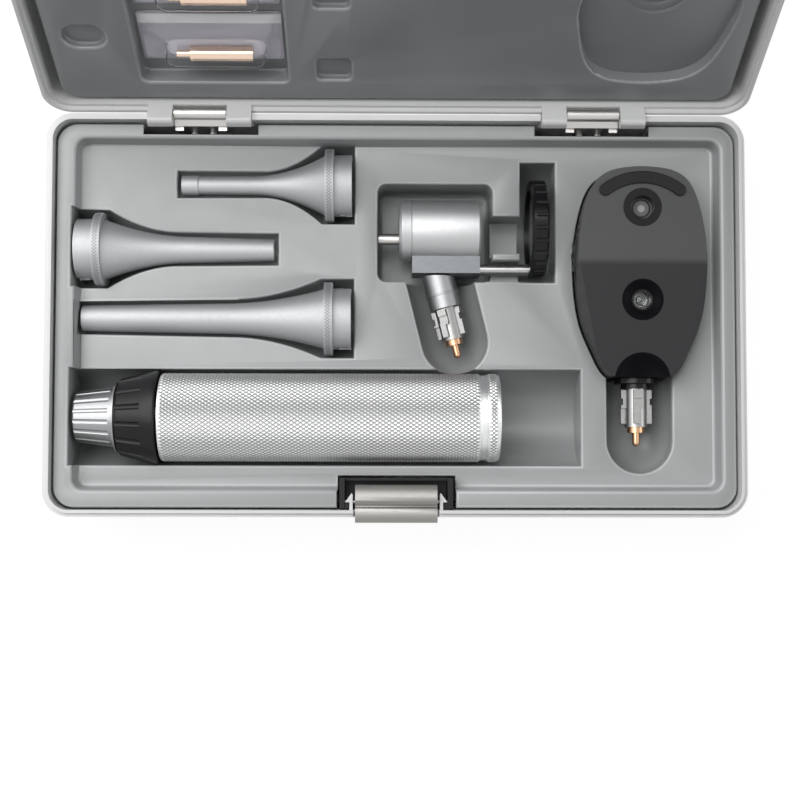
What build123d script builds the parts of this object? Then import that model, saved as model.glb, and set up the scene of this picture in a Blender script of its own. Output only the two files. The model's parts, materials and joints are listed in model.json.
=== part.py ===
"""Otoscope and ophthalmoscope set in a hard carry case, open at rest.

Millimetres, +Z up.  The origin is the middle of the flat underside of the case.
+X is to the right and +Y towards the hinges.  The lid and all that it carries are drawn
closed and then swung open by REST_OPEN about the hinge axis.
"""

from build123d import *
from math import cos, radians, sin, sqrt, tan
import os

os.makedirs("parts", exist_ok=True)

# ---- driving dimensions -------------------------------------------------------------

# case shells
CASE_LENGTH = 236.0
CASE_WIDTH = 136.0
BASE_HEIGHT = 35.0
LID_HEIGHT = 15.0
SHELL_WALL = 2.3
SHELL_FLOOR = 2.0
SHELL_CORNER = 9.0
SHELL_DRAFT = 2.0
SHELL_EDGE = 4.0
INNER_EDGE = 1.5
RIM_GAP = 0.3
TONGUE_INSET = 1.25
TONGUE_HEIGHT = 1.2
TONGUE_CLEAR = 0.15
REBATE_DEPTH = 1.6

# hinges
REST_OPEN = 115.0
HINGE_SPACING = 132.8
HINGE_HALF = 17.4
SLEEVE_HALF = 8.8
SLEEVE_R = 2.1
HINGE_PIN_R = 1.25
PIN_FIT = 0.05
KNUCKLE_BACK = 1.9
KNUCKLE_FRONT = 2.4
KNUCKLE_DROP = 5.0
KNUCKLE_RISE = 3.1
HINGE_NOTCH_DEPTH = 6.8
BRACKET_SHEET = 1.1
BRACKET_DEPTH = 15.0
BRACKET_EAR = 2.9
BRACKET_EAR_REACH = 1.3
HINGE_SCREW_SPACING = 6.4
SCREW_HEAD_R = 1.8
SCREW_HEAD_H = 0.9
SCREW_R = 0.9
SCREW_LENGTH = 1.6

# latch
LATCH_X = 0.1
LATCH_HALF = 13.8
LATCH_SHEET = 1.0
LATCH_PIVOT_IN = 4.8
LATCH_PIVOT_DROP = 9.0
LATCH_PIN_R = 1.0
LATCH_BARREL_R = 1.8
HOUSING_HALF = 19.1
HOUSING_POST = 1.8
HOUSING_IN = 13.1
HOUSING_SHEET = 1.0
HOUSING_DEPTH = 13.5
SPRING_R = 2.6
SPRING_WIRE = 0.5
SPRING_LENGTH = 2.0
BARB_X = 15.2
CATCH_HALF = 9.0
CATCH_SHEET = 0.8

# tray
SHEET = 1.0
BORDER_DROP = 2.2
FLOOR_DROP = 8.5
TRAY_GAP = 3.0
TRAY_CORNER = 7.0
WELL_LEFT_IN = 9.1
WELL_RIGHT_IN = 7.8
WELL_FRONT_IN = 8.8
WELL_BACK_IN = 7.8
WELL_CORNER = 4.0
WELL_DRAFT = 12.0
BAY_IN = 15.4
BAY_HALF = 21.6
BAY_SPLAY = 0.9
NECK_POCKET_R = 11.3
TRAY_CUT_IN = 6.7

# lid insert
INSERT_DROP = 3.1
INSERT_END_IN = 6.0
INSERT_BACK_IN = 3.7
INSERT_FRONT_IN = 5.6
INSERT_CORNER = 6.0
BULB_POCKET_LENGTH = 47.4
BULB_POCKET_X = -60.1
BULB_POCKET_NEAR = 11.6
BULB_POCKET_FAR = 68.0
BULB_POCKET_DEPTH = 5.5
LID_DIMPLE_X = 80.7
CARD_LENGTH = 46.0
CARD_WIDTH = 21.6
CARD_SHEET = 0.5
CARD_LEVEL = -8.55
BLISTER_SHEET = 0.35
BULB_IN_CARD = 5.2
CARD_NEAR = (17.8, 43.2)

# instruments
SEAT = 0.3
SPECULUM_DROP = 10.7
RING_R = 12.5
RING_WIDTH = 3.0
COLLAR_R = 10.5
COLLAR_WIDTH = 6.2
CONE_R = 10.3
SPECULUM_WALL = 0.8
SMALL_LENGTH = 58.5
SMALL_MOUTH = -15.2
MEDIUM_LENGTH = 67.2
MEDIUM_MOUTH = -109.0
LARGE_LENGTH = 92.0
LARGE_TIP = -107.4
HANDLE_Y = -34.4
HANDLE_DROP = 10.5
HANDLE_R = 15.2
HANDLE_END = 35.2
CAP_WIDTH = 4.6
GROOVE_WIDTH = 2.2
TUBE_START = -79.8
RING_BLACK_STEP = 0.8
RING_BLACK_WIDTH = 13.7
SOCKET_LENGTH = 13.5
SOCKET_R = 10.3
SOCKET_TIP_R = 8.6
TUBE_WALL = 1.2
BATTERY_FIT = 1.4
BATTERY_LENGTH = 89.1
HUB_R = 9.3
CONTACT_R = 1.2
PLUG_BORE_R = 5.3
COLLAR_GROOVES = 15
SOCKET_RIBS = 16

OTO_X = 1.0
OTO_Y = 30.7
OTO_DROP = 14.0
BARREL_R = 10.6
BARREL_LENGTH = 28.0
BARREL_BORE = 9.0
FLANGE_WIDTH = 4.4
BLOCK_FRONT = 14.6
BLOCK_HALF = 4.9
ROD_R = 1.95
ROD_Y = 17.1
LENS_X = 45.9
LENS_WIDTH = 5.6
LENS_R = 16.7
LENS_Y = 31.5
LENS_GLASS_R = 14.2
LENS_GROOVES = 24
NECK_X = 14.6
NECK_TILT = 13.9
NECK_R = 5.6
NECK_STEP = 6.4
NECK_LENGTH = 11.3
OTO_PLUG_LENGTH = 11.2

OPH_X = 82.8
OPH_BASE = -20.6
OPH_TOP = 50.2
OPH_FACE = -2.5
OPH_THICK = 24.5
WHEEL_Y = 20.9
WHEEL_R = 22.9
WHEEL_WIDTH = 4.2
WHEEL_DROP = 8.2
WHEEL_SLOT = 0.35
WHEEL_COUNT = 32
WINDOW_HIGH_Y = 36.3
WINDOW_LOW_Y = 5.1
OPH_COLLAR = 3.6
OPH_PLUG_LENGTH = 13.2
FACE_SLOPE = 2.5
FACE_SLOPE_Y = 18.6

# ---- places worked out from them ----------------------------------------------------

RIM = BASE_HEIGHT
BATTERY_R = HANDLE_R - TUBE_WALL - BATTERY_FIT
RING_BLACK_R = HANDLE_R + RING_BLACK_STEP
LID_RIM = RIM + RIM_GAP
LID_TOP = LID_RIM + LID_HEIGHT
BORDER_Z = RIM - BORDER_DROP
FLOOR_Z = RIM - FLOOR_DROP
HINGE_Y = CASE_WIDTH / 2
HINGE_Z = RIM
HINGE_XS = (-HINGE_SPACING / 2, HINGE_SPACING / 2)
HINGE_AXIS = Axis((0, HINGE_Y, HINGE_Z), (1, 0, 0))
WALL_IN = CASE_WIDTH / 2 - SHELL_WALL
INSERT_Z = LID_RIM + INSERT_DROP
FRONT = -CASE_WIDTH / 2
BACK = CASE_WIDTH / 2
LATCH_PIVOT_Y = FRONT + LATCH_PIVOT_IN
HOUSING_BACK_Y = FRONT + HOUSING_IN
TRAY_LENGTH = CASE_LENGTH - 2 * TRAY_GAP
TRAY_WIDTH = CASE_WIDTH - 2 * TRAY_GAP
TRAY_CUT_Y = BACK - TRAY_CUT_IN
WELL_LENGTH = CASE_LENGTH - WELL_LEFT_IN - WELL_RIGHT_IN
WELL_X = (WELL_LEFT_IN - WELL_RIGHT_IN) / 2
WELL_FRONT = FRONT + WELL_FRONT_IN
WELL_BACK = BACK - WELL_BACK_IN
BAY_BACK = FRONT + BAY_IN
INSERT_LENGTH = CASE_LENGTH - 2 * INSERT_END_IN
INSERT_BACK = BACK - INSERT_BACK_IN
INSERT_FRONT = FRONT + INSERT_FRONT_IN
SPECULUM_Z = RIM - SPECULUM_DROP
HANDLE_Z = RIM - HANDLE_DROP
OTO_Z = RIM - OTO_DROP
OPH_FACE_Z = RIM - OPH_FACE
OPH_BACK_Z = OPH_FACE_Z - OPH_THICK
OPH_NECK_Z = RIM - 13.0
LATCH_PIVOT = (LATCH_X, LATCH_PIVOT_Y, RIM - LATCH_PIVOT_DROP)
CATCH_SCREW_Y = LATCH_PIVOT_Y + 3.7

# Each speculum: tip place and direction of the collar along X, its Y, its total length,
# the tube's radius at the tip and where the flare starts, the flare's length and the
# slack of the recess round the tip.
SPECULA = {
    "speculum_small": dict(
        tip=SMALL_MOUTH - SMALL_LENGTH, way=1, y=45.6, length=SMALL_LENGTH,
        tip_r=3.0, tube_r=3.2, flare=26.0, slack=1.6,
    ),
    "speculum_medium": dict(
        tip=MEDIUM_MOUTH + MEDIUM_LENGTH, way=-1, y=23.2, length=MEDIUM_LENGTH,
        tip_r=3.7, tube_r=4.5, flare=29.8, slack=1.7,
    ),
    "speculum_large": dict(
        tip=LARGE_TIP, way=1, y=-0.5, length=LARGE_LENGTH,
        tip_r=4.4, tube_r=5.2, flare=35.5, slack=1.15,
    ),
}


# ---- small builders -----------------------------------------------------------------


def slab(length, width, corner, level, height, taper=0.0, x=0.0, y=0.0, up=False):
    """A block with rounded corners that grows down, or up, from a level."""
    face = Plane.XY.offset(level) * Pos(x, y) * RectangleRounded(length, width, corner)
    return extrude(face, amount=height, taper=taper, dir=(0, 0, 1 if up else -1))


def block(x0, x1, y0, y1, z0, z1):
    """A plain box between six planes."""
    middle = Pos((x0 + x1) / 2, (y0 + y1) / 2, (z0 + z1) / 2)
    return middle * Box(x1 - x0, y1 - y0, z1 - z0)


def rod_x(x0, x1, y, z, radius):
    """A cylinder along X."""
    return Pos((x0 + x1) / 2, y, z) * Rot(0, 90, 0) * Cylinder(radius, x1 - x0)


def rod_y(x, y0, y1, z, radius):
    """A cylinder along Y."""
    return Pos(x, (y0 + y1) / 2, z) * Rot(90, 0, 0) * Cylinder(radius, y1 - y0)


def rod_z(x, y, z0, z1, radius):
    """A cylinder along Z."""
    return Pos(x, y, (z0 + z1) / 2) * Cylinder(radius, z1 - z0)


def plate(points, x0, x1):
    """A solid with an outline in the YZ plane, from x0 to x1."""
    face = Plane.YZ.offset(x0) * make_face(Polyline(*points, close=True))
    return extrude(face, amount=x1 - x0, dir=(1, 0, 0))


def flat(points, z0, z1):
    """A solid with an outline in plan, from z0 to z1."""
    face = Plane.XY.offset(z0) * make_face(Polyline(*points, close=True))
    return extrude(face, amount=z1 - z0, dir=(0, 0, 1))


def strip(points, thickness):
    """The outline of a bent sheet whose middle follows the points."""
    half = thickness / 2
    left, right = [], []
    count = len(points)
    for i, (a, b) in enumerate(points):
        before = points[max(i - 1, 0)]
        after = points[min(i + 1, count - 1)]
        first = Vector(a - before[0], b - before[1]).normalized() if i else None
        last = Vector(after[0] - a, after[1] - b).normalized() if i < count - 1 else None
        first = first or last
        last = last or first
        along = (first + last).normalized()
        stretch = half / max(along.dot(first), 0.5)
        left.append((a - along.Y * stretch, b + along.X * stretch))
        right.append((a + along.Y * stretch, b - along.X * stretch))
    return left + right[::-1]


def opened(shape):
    """A closed-lid shape swung to where the lid stands open."""
    return shape.rotate(HINGE_AXIS, -REST_OPEN)


def on_lid(shape):
    """A face-up shape in lid coordinates, put into the lid at rest."""
    return opened(Pos(0, HINGE_Y, LID_RIM) * Rot(180, 0, 0) * shape)


def edges_at(shape, level, kind=None):
    """All edges that lie in one level plane."""
    found = shape.edges().filter_by_position(Axis.Z, level - 0.01, level + 0.01)
    return found.filter_by(kind) if kind else found


# ---- case shells --------------------------------------------------------------------


def shell(level, height, up):
    """An open box with drafted walls and a rounded closed end."""
    inner = SHELL_CORNER - SHELL_WALL
    outside = slab(CASE_LENGTH, CASE_WIDTH, SHELL_CORNER, level, height, SHELL_DRAFT, up=up)
    far = level + height if up else level - height
    outside = fillet(edges_at(outside, far), SHELL_EDGE)
    length = CASE_LENGTH - 2 * SHELL_WALL
    width = CASE_WIDTH - 2 * SHELL_WALL
    depth = height - SHELL_FLOOR
    inside = slab(length, width, inner, level, depth, SHELL_DRAFT, up=up)
    far = level + depth if up else level - depth
    inside = fillet(edges_at(inside, far), INNER_EDGE)
    return outside - inside


def rim_ring(outer, inner, level, height):
    """A band that follows the rim between two distances from its outer edge."""
    bands = []
    for inset in (outer, inner):
        corner = SHELL_CORNER - inset
        length = CASE_LENGTH - 2 * inset
        width = CASE_WIDTH - 2 * inset
        bands.append(slab(length, width, corner, level, height, up=True))
    return bands[0] - bands[1]


def barb(side):
    """A snap hook on the inside of the front wall, which holds the latch housing."""
    root = -WALL_IN - 0.6
    outline = [
        (BARB_X - 0.6, root),
        (BARB_X - 0.6, 5.1 - WALL_IN),
        (BARB_X - 0.2, 5.7 - WALL_IN),
        (BARB_X + 1.7, 3.0 - WALL_IN),
        (BARB_X + 1.4, 2.6 - WALL_IN),
        (BARB_X + 0.5, 2.7 - WALL_IN),
        (BARB_X + 0.5, root),
    ]
    outline = [(LATCH_X + side * x, y) for x, y in outline]
    return flat(outline, RIM - 7.6, RIM - 1.6)


def screw_places(x):
    """Middle of each screw of the bracket of one hinge."""
    level = RIM - BRACKET_DEPTH + 4.0
    return [(x + side * HINGE_SCREW_SPACING / 2, level) for side in (-1, 1)]


def base_shell():
    body = shell(RIM, BASE_HEIGHT, up=False)
    body += rim_ring(TONGUE_INSET, SHELL_WALL, RIM - 0.5, TONGUE_HEIGHT + 0.5)
    for x in HINGE_XS:
        half = HINGE_HALF + 0.3
        notch = RIM - HINGE_NOTCH_DEPTH
        body -= block(x - half, x + half, WALL_IN - 3.0, HINGE_Y + 2.0, notch, RIM + 3.0)
        for place, level in screw_places(x):
            body -= rod_y(place, WALL_IN - 3.0, WALL_IN + SCREW_LENGTH - 0.4, level, SCREW_R)
    half = LATCH_HALF + 0.6
    body -= block(LATCH_X - half, LATCH_X + half, -HINGE_Y - 2.0, 3.0 - HINGE_Y, RIM - 2.0, RIM + 3.0)
    for side in (-1, 1):
        body += barb(side)
    return body


def lid_shell():
    body = shell(LID_RIM, LID_HEIGHT, up=True)
    inset = TONGUE_INSET - TONGUE_CLEAR
    body -= rim_ring(inset, SHELL_WALL + 1.0, LID_RIM - 1.0, REBATE_DEPTH + 1.0)
    for x in HINGE_XS:
        gap = SLEEVE_HALF + 0.3
        body -= rod_x(x - gap, x + gap, HINGE_Y, HINGE_Z, SLEEVE_R + 0.4)
        for side in (-1, 1):
            body += knuckle(x, side)
            low, high = sorted((x + side * gap, x + side * HINGE_HALF))
            body -= rod_x(low - 0.1, high + 0.1, HINGE_Y, HINGE_Z, HINGE_PIN_R + PIN_FIT)
    half = LATCH_HALF + 0.6
    body -= block(LATCH_X - half, LATCH_X + half, -HINGE_Y - 2.0, 3.0 - HINGE_Y, LID_RIM - 1.0, RIM + 2.4)
    body += catch_boss()
    return opened(body)


def knuckle(x, side):
    """A lug on the lid that turns on the hinge pin."""
    low, high = sorted((x + side * (SLEEVE_HALF + 0.3), x + side * HINGE_HALF))
    front = HINGE_Y - KNUCKLE_FRONT
    back = HINGE_Y + KNUCKLE_BACK
    body = block(low, high, front, back, RIM - KNUCKLE_DROP, LID_RIM + KNUCKLE_RISE)
    tail = body.edges().filter_by(Axis.X).group_by(Axis.Z)[0]
    return fillet(tail, 1.6)


# ---- hinges -------------------------------------------------------------------------


def hinge_bracket(x):
    """The sleeve round the pin, its sheet down the wall and the two ears in front."""
    wall = WALL_IN - 0.6
    back = wall - BRACKET_SHEET
    body = rod_x(x - SLEEVE_HALF, x + SLEEVE_HALF, HINGE_Y, HINGE_Z, SLEEVE_R)
    web = [
        (HINGE_Y - 1.0, HINGE_Z - SLEEVE_R + 0.3),
        (HINGE_Y - 1.9, HINGE_Z - 0.4),
        (back, RIM - 1.6),
        (back, RIM - BRACKET_DEPTH),
        (wall, RIM - BRACKET_DEPTH),
        (wall, RIM - 3.4),
    ]
    body += plate(web, x - SLEEVE_HALF, x + SLEEVE_HALF)
    for side in (-1, 1):
        low, high = sorted((x + side * (SLEEVE_HALF - BRACKET_EAR), x + side * SLEEVE_HALF))
        reach = back - BRACKET_EAR_REACH
        body += block(low, high, reach, back + 0.2, RIM - 3.6, RIM - 2.6)
    body -= rod_x(x - SLEEVE_HALF - 1, x + SLEEVE_HALF + 1, HINGE_Y, HINGE_Z, HINGE_PIN_R)
    for place, level in screw_places(x):
        body -= rod_y(place, back - 1.0, wall + 1.0, level, SCREW_R)
    return body


def hinge_pin(x):
    half = HINGE_HALF - 0.4
    return rod_x(x - half, x + half, HINGE_Y, HINGE_Z, HINGE_PIN_R)


def hinge_screws():
    """Four pan-head screws, two in each bracket."""
    seat = WALL_IN - 0.6 - BRACKET_SHEET
    made = []
    for x in HINGE_XS:
        for place, level in screw_places(x):
            head = rod_y(place, seat - SCREW_HEAD_H, seat, level, SCREW_HEAD_R)
            shank = rod_y(place, seat - 0.1, WALL_IN + SCREW_LENGTH - 0.5, level, SCREW_R)
            made.append(head + shank)
    return made


# ---- latch --------------------------------------------------------------------------


def latch_plate():
    """A rocking plate: the hooked end inside, the press tab outside the wall."""
    middle = [
        (5.5, -3.2),
        (5.5, -1.7),
        (4.9, -0.9),
        (3.4, -0.2),
        (2.0, 0.35),
        (0.8, 0.3),
        (-0.3, -0.4),
        (-1.0, -0.9),
        (-1.7, -0.6),
        (-2.2, 0.2),
        (-3.2, 0.45),
        (-4.8, 0.4),
        (-5.8, -0.1),
        (-6.2, -1.0),
        (-6.2, -3.6),
    ]
    places = [(LATCH_PIVOT_Y + y, RIM + z) for y, z in middle]
    outline = strip(places, LATCH_SHEET)
    low, high = LATCH_X - LATCH_HALF, LATCH_X + LATCH_HALF
    body = plate(outline, low, high)
    _, y, z = LATCH_PIVOT
    body += block(low + 2.8, high - 2.8, y - 0.5, y + 0.5, z, RIM)
    body += rod_x(low + 2.8, high - 2.8, y, z, LATCH_BARREL_R)
    body -= rod_x(low, high, y, z, LATCH_PIN_R + PIN_FIT)
    return body


def latch_housing():
    """The black guide that carries the latch pin between its two posts."""
    _, pivot_y, pivot_z = LATCH_PIVOT
    front = -WALL_IN + 0.5
    low, high = LATCH_X - HOUSING_HALF, LATCH_X + HOUSING_HALF
    back = HOUSING_BACK_Y
    bottom = RIM - HOUSING_DEPTH
    body = block(low, high, front, back, bottom, bottom + HOUSING_SHEET)
    body += block(low, high, back - HOUSING_SHEET, back, bottom, RIM - 6.5)
    for side in (-1, 1):
        outer = LATCH_X + side * HOUSING_HALF
        inner = outer - side * HOUSING_POST
        ledge = LATCH_X + side * (BARB_X + 0.8)
        a, b = sorted((outer, inner))
        body += block(a, b, front, back, bottom, RIM - 1.8)
        a, b = sorted((outer, ledge))
        body += block(a, b, front, front + 1.9, RIM - 8.6, RIM - 2.2)
    body -= rod_x(low - 1, high + 1, pivot_y, pivot_z, LATCH_PIN_R)
    return body


def latch_pin():
    x, y, z = LATCH_PIVOT
    return rod_x(x - HOUSING_HALF + 0.1, x + HOUSING_HALF - 0.1, y, z, LATCH_PIN_R)


def latch_springs():
    """A torsion spring on the pin at each end of the plate's barrel."""
    x, y, z = LATCH_PIVOT
    made = []
    for side in (-1, 1):
        start = LATCH_HALF - 2.8 + 0.3
        low, high = sorted((x + side * start, x + side * (start + SPRING_LENGTH)))
        coil = rod_x(low, high, y, z, SPRING_R - 0.6) - rod_x(low - 1, high + 1, y, z, LATCH_PIN_R + 0.2)
        middle = (low + high) / 2
        leg = rod_z(middle, y + SPRING_R - 0.85, z, z + 4.5, SPRING_WIRE / 2)
        made.append(coil + leg)
    return made


def catch_boss():
    """The block inside the lid that the catch is screwed to."""
    top = LID_TOP - SHELL_FLOOR + 0.5
    boss = block(LATCH_X - 10.0, LATCH_X + 10.0, LATCH_PIVOT_Y + 0.6, LATCH_PIVOT_Y + 7.8, RIM + 5.0, top)
    return boss - catch_screw_holes()


def catch_screw_places():
    return [LATCH_X - 5.5, LATCH_X + 5.5]


def catch_screw_holes():
    holes = [rod_z(x, CATCH_SCREW_Y, RIM + 4.0, RIM + 9.0, SCREW_R) for x in catch_screw_places()]
    return holes[0] + holes[1]


def lid_catch():
    """A steel hook that the latch plate holds down when the lid is shut."""
    stem_back = LATCH_PIVOT_Y + 7.1
    stem_front = stem_back - CATCH_SHEET
    foot = RIM - 4.6
    low, high = LATCH_X - CATCH_HALF, LATCH_X + CATCH_HALF
    body = block(low, high, LATCH_PIVOT_Y + 1.0, stem_back, RIM + 5.0 - CATCH_SHEET, RIM + 5.0)
    body += block(low, high, stem_front, stem_back, foot, RIM + 5.0)
    body += block(low, high, stem_back - 1.8, stem_back, foot, foot + CATCH_SHEET)
    for x in catch_screw_places():
        body -= rod_z(x, CATCH_SCREW_Y, RIM + 3.0, RIM + 6.0, SCREW_R)
    return opened(body)


def catch_screws():
    made = []
    under = RIM + 5.0 - CATCH_SHEET
    for x in catch_screw_places():
        head = rod_z(x, CATCH_SCREW_Y, under - SCREW_HEAD_H, under, SCREW_HEAD_R)
        shank = rod_z(x, CATCH_SCREW_Y, under - 0.1, RIM + 8.5, SCREW_R)
        made.append(opened(head + shank))
    return made


# ---- tray ---------------------------------------------------------------------------


def trough(x0, x1, y, z, radius, grow):
    """A half-round channel along X, open up to the border."""
    low, high = x0 - grow, x1 + grow
    half = radius + grow
    body = rod_x(low, high, y, z, half) & block(low, high, y - half, y + half, z - half - 1, z)
    return body + block(low, high, y - half, y + half, z, BORDER_Z)


def well(x0, x1, y0, y1, bottom, corner, grow, edge=1.5):
    """A rounded pocket from the border down to a bottom level."""
    length, width = x1 - x0 + 2 * grow, y1 - y0 + 2 * grow
    middle = ((x0 + x1) / 2, (y0 + y1) / 2)
    depth = BORDER_Z - bottom + grow
    body = slab(length, width, corner + grow, BORDER_Z, depth, x=middle[0], y=middle[1])
    return fillet(edges_at(body, bottom - grow), edge + grow)


def main_well(grow):
    """The wide shallow recess with sloping sides, which leaves the latch bay raised."""
    width = WELL_BACK - WELL_FRONT + 2 * grow
    middle = (WELL_BACK + WELL_FRONT) / 2
    depth = BORDER_Z - FLOOR_Z + grow
    length = WELL_LENGTH + 2 * grow
    body = slab(length, width, WELL_CORNER + grow, BORDER_Z, depth, WELL_DRAFT, WELL_X, middle)
    spread = (BORDER_Z - FLOOR_Z) * tan(radians(WELL_DRAFT))
    back = BAY_BACK + spread - grow
    side = BAY_HALF + spread - grow
    fan = back - WELL_FRONT + 6.0
    bay = [
        (LATCH_X - side, back),
        (LATCH_X + side, back),
        (LATCH_X + side + fan * BAY_SPLAY, WELL_FRONT - 6.0),
        (LATCH_X - side - fan * BAY_SPLAY, WELL_FRONT - 6.0),
    ]
    face = Plane.XY.offset(FLOOR_Z - grow) * make_face(Polyline(*bay, close=True))
    return body - extrude(face, amount=depth + 1.0, taper=WELL_DRAFT, dir=(0, 0, 1))


def speculum_pocket(spec, grow):
    """A recess that follows one speculum: round below its axis, upright above."""
    way, tip = spec["way"], spec["tip"]
    ring = tip + way * (spec["length"] - RING_WIDTH - COLLAR_WIDTH)
    end = tip + way * spec["length"]
    start = ring - way * (spec["flare"] - 6.0)
    near = tip - way * (1.4 + grow)
    far = end + way * (0.9 + grow)
    slim = spec["tip_r"] + spec["slack"] + grow
    root = spec["tube_r"] + 1.3 + grow
    wide = RING_R + 1.0 + grow
    lead = ring - way * 1.2
    knee = start + way * 0.5 * (spec["flare"] - 7.0)
    edge = Line((near, 0), (near, slim))
    edge += Line((near, slim), (start, root))
    edge += Bezier((start, root), (knee, root + 0.5), (lead, wide))
    edge += Line((lead, wide), (far, wide))
    edge += Line((far, wide), (far, 0))
    edge += Line((far, 0), (near, 0))
    half = make_face(edge)
    place = Pos(0, spec["y"], SPECULUM_Z)
    turned = place * revolve(half, Axis.X, 360)
    below = turned & block(-130, 130, -80, 80, SPECULUM_Z - 20, SPECULUM_Z)
    height = BORDER_Z - SPECULUM_Z
    upper = extrude(place * half, amount=height, dir=(0, 0, 1))
    lower = extrude(place * Rot(180, 0, 0) * half, amount=height, dir=(0, 0, 1))
    return below + upper + lower


def neck_pocket(grow):
    """The channel for the neck of the otoscope head, with a domed end."""
    radius = NECK_POCKET_R + grow
    reach = 24.0
    level = RIM - 12.0
    tilt = radians(NECK_TILT)
    start = (NECK_X - 0.3, 15.0)
    end = (start[0] + reach * sin(tilt), start[1] - reach * cos(tilt))
    middle = ((start[0] + end[0]) / 2, (start[1] + end[1]) / 2)
    along = Pos(*middle, level) * Rot(0, 0, NECK_TILT)
    body = along * Rot(90, 0, 0) * Cylinder(radius, reach)
    body += Pos(*end, level) * Sphere(radius)
    body = body & block(-40, 60, -60, 60, level - radius - 1, level)
    height = BORDER_Z - level
    body += along * Pos(0, 0, height / 2) * Box(2 * radius, reach, height)
    return body + Pos(*end, level + height / 2) * Cylinder(radius, height)


def lens_slot(grow):
    """The deep slot for the lens, round at the bottom."""
    low, high = 42.6 - grow, 54.6 + grow
    half = 20.7 + grow
    level = RIM - 10.6
    body = rod_x(low, high, 32.8, level, half) & block(low, high, 0, 70, level - half - 1, level)
    return body + block(low, high, 12.1 - grow, 53.5 + grow, level, BORDER_Z)


def low_recess(grow):
    """The recess under the neck of the ophthalmoscope, with a domed end."""
    radius = 11.2 + grow
    x, end, start = OPH_X + 0.5, -42.1, -14.0
    body = rod_y(x, end, start, OPH_NECK_Z, radius) + Pos(x, end, OPH_NECK_Z) * Sphere(radius)
    body = body & block(40, 130, -70, 0, OPH_NECK_Z - radius - 1, OPH_NECK_Z)
    body += block(x - radius, x + radius, end, start, OPH_NECK_Z, BORDER_Z)
    return body + rod_z(x, end, OPH_NECK_Z, BORDER_Z, radius)


def head_recess(grow):
    """The recess that takes the back of the ophthalmoscope."""
    bottom = OPH_BACK_Z - SEAT - grow
    return extrude(oph_face(0.5 + grow, BORDER_Z), amount=BORDER_Z - bottom, dir=(0, 0, -1))


def pockets(grow):
    """Every recess below the main well."""
    made = [speculum_pocket(spec, grow) for spec in SPECULA.values()]
    made.append(trough(-110.1, 63.2, HANDLE_Y, HANDLE_Z, RING_BLACK_R + 0.4, grow))
    made.append(well(-6.4, 33.1, 12.2, 46.0, RIM - 26.5, 3.0, grow, 2.0))
    made.append(well(30.0, 44.0, 22.1, 34.9, RIM - 22.0, 1.0, grow, 0.8))
    made.append(well(30.0, 44.0, 12.4, 19.8, RIM - 17.0, 1.0, grow, 0.8))
    made.append(lens_slot(grow))
    made.append(neck_pocket(grow))
    made.append(head_recess(grow))
    made.append(low_recess(grow))
    return made


def base_tray():
    """One formed sheet: border, skirt, well and recesses all SHEET thick."""
    depth = BORDER_Z - SHELL_FLOOR - 0.4
    body = slab(TRAY_LENGTH, TRAY_WIDTH, TRAY_CORNER, BORDER_Z, depth, SHELL_DRAFT)
    length, width = TRAY_LENGTH - 2 * SHEET, TRAY_WIDTH - 2 * SHEET
    hollow = slab(length, width, TRAY_CORNER - SHEET, BORDER_Z - SHEET, depth, SHELL_DRAFT)
    body -= hollow
    body += main_well(SHEET)
    for part in pockets(SHEET):
        body += part
    body -= main_well(0.0)
    for part in pockets(0.0):
        body -= part
    for x in HINGE_XS:
        body -= block(x - 19.5, x + 19.5, TRAY_CUT_Y, BACK + 2.0, 0, BORDER_Z + 1)
    body -= block(LATCH_X - 19.8, LATCH_X + 20.1, FRONT - 2.0, HOUSING_BACK_Y + 0.6, 0, BORDER_Z + 1)
    return body


# ---- lid insert and spare bulbs -----------------------------------------------------


def lid_well(x0, x1, v0, v1, depth, corner, grow, edge=0.8):
    """A pocket in the insert, in lid coordinates."""
    length, width = x1 - x0 + 2 * grow, v1 - v0 + 2 * grow
    level = -INSERT_DROP
    body = slab(length, width, corner + grow, level, depth + grow, 4.0, (x0 + x1) / 2, (v0 + v1) / 2)
    return fillet(edges_at(body, level - depth - grow), edge + grow)


def lid_head_recess(grow):
    """Clearance for the face of the ophthalmoscope, with a bulge for the wheel."""
    level = -INSERT_DROP
    depth = 4.2 + grow
    x = OPH_X - 1.2
    body = extrude(oph_face(3.0 + grow, level), amount=depth, dir=(0, 0, -1))
    body = Pos(x, HINGE_Y - 2.0, 0) * Rot(0, 0, 180) * Pos(-OPH_X, 0, 0) * body
    v = HINGE_Y - WHEEL_Y - 2.0
    body += rod_z(x, v, level - depth, level, WHEEL_R + 2.2 + grow)
    return body


def lid_dimple(grow):
    """The stepped round recess that clears the lower window."""
    level = -INSERT_DROP - 4.2
    v = 51.0
    body = rod_z(LID_DIMPLE_X, v, level - 1.2 - grow, level + 1.0, 10.3 + grow)
    return body + rod_z(LID_DIMPLE_X, v, level - 2.4 - grow, level + 1.0, 7.8 + grow)


def lid_pockets(grow):
    made = [lid_well(-84.4, -35.8, BULB_POCKET_NEAR, BULB_POCKET_FAR, BULB_POCKET_DEPTH, 2.5, grow)]
    made.append(lid_well(-107.0, -93.0, 27.9, 38.4, 2.4, 5.0, grow))
    for near in (13.0, 46.0, 79.0):
        made.append(lid_well(-26.5, -15.0, near, near + 10.5, 2.4, 2.0, grow))
    made.append(lid_head_recess(grow))
    made.append(lid_dimple(grow))
    axis = HINGE_Y - HANDLE_Y
    drop = HANDLE_DROP + RIM_GAP
    reach = RING_BLACK_R + 1.3 + grow
    channel = rod_x(-112.0 - grow, 42.0 + grow, axis, drop, reach)
    made.append(channel & block(-115, 50, 70, 130, -INSERT_DROP - 12, -INSERT_DROP))
    return made


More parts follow.
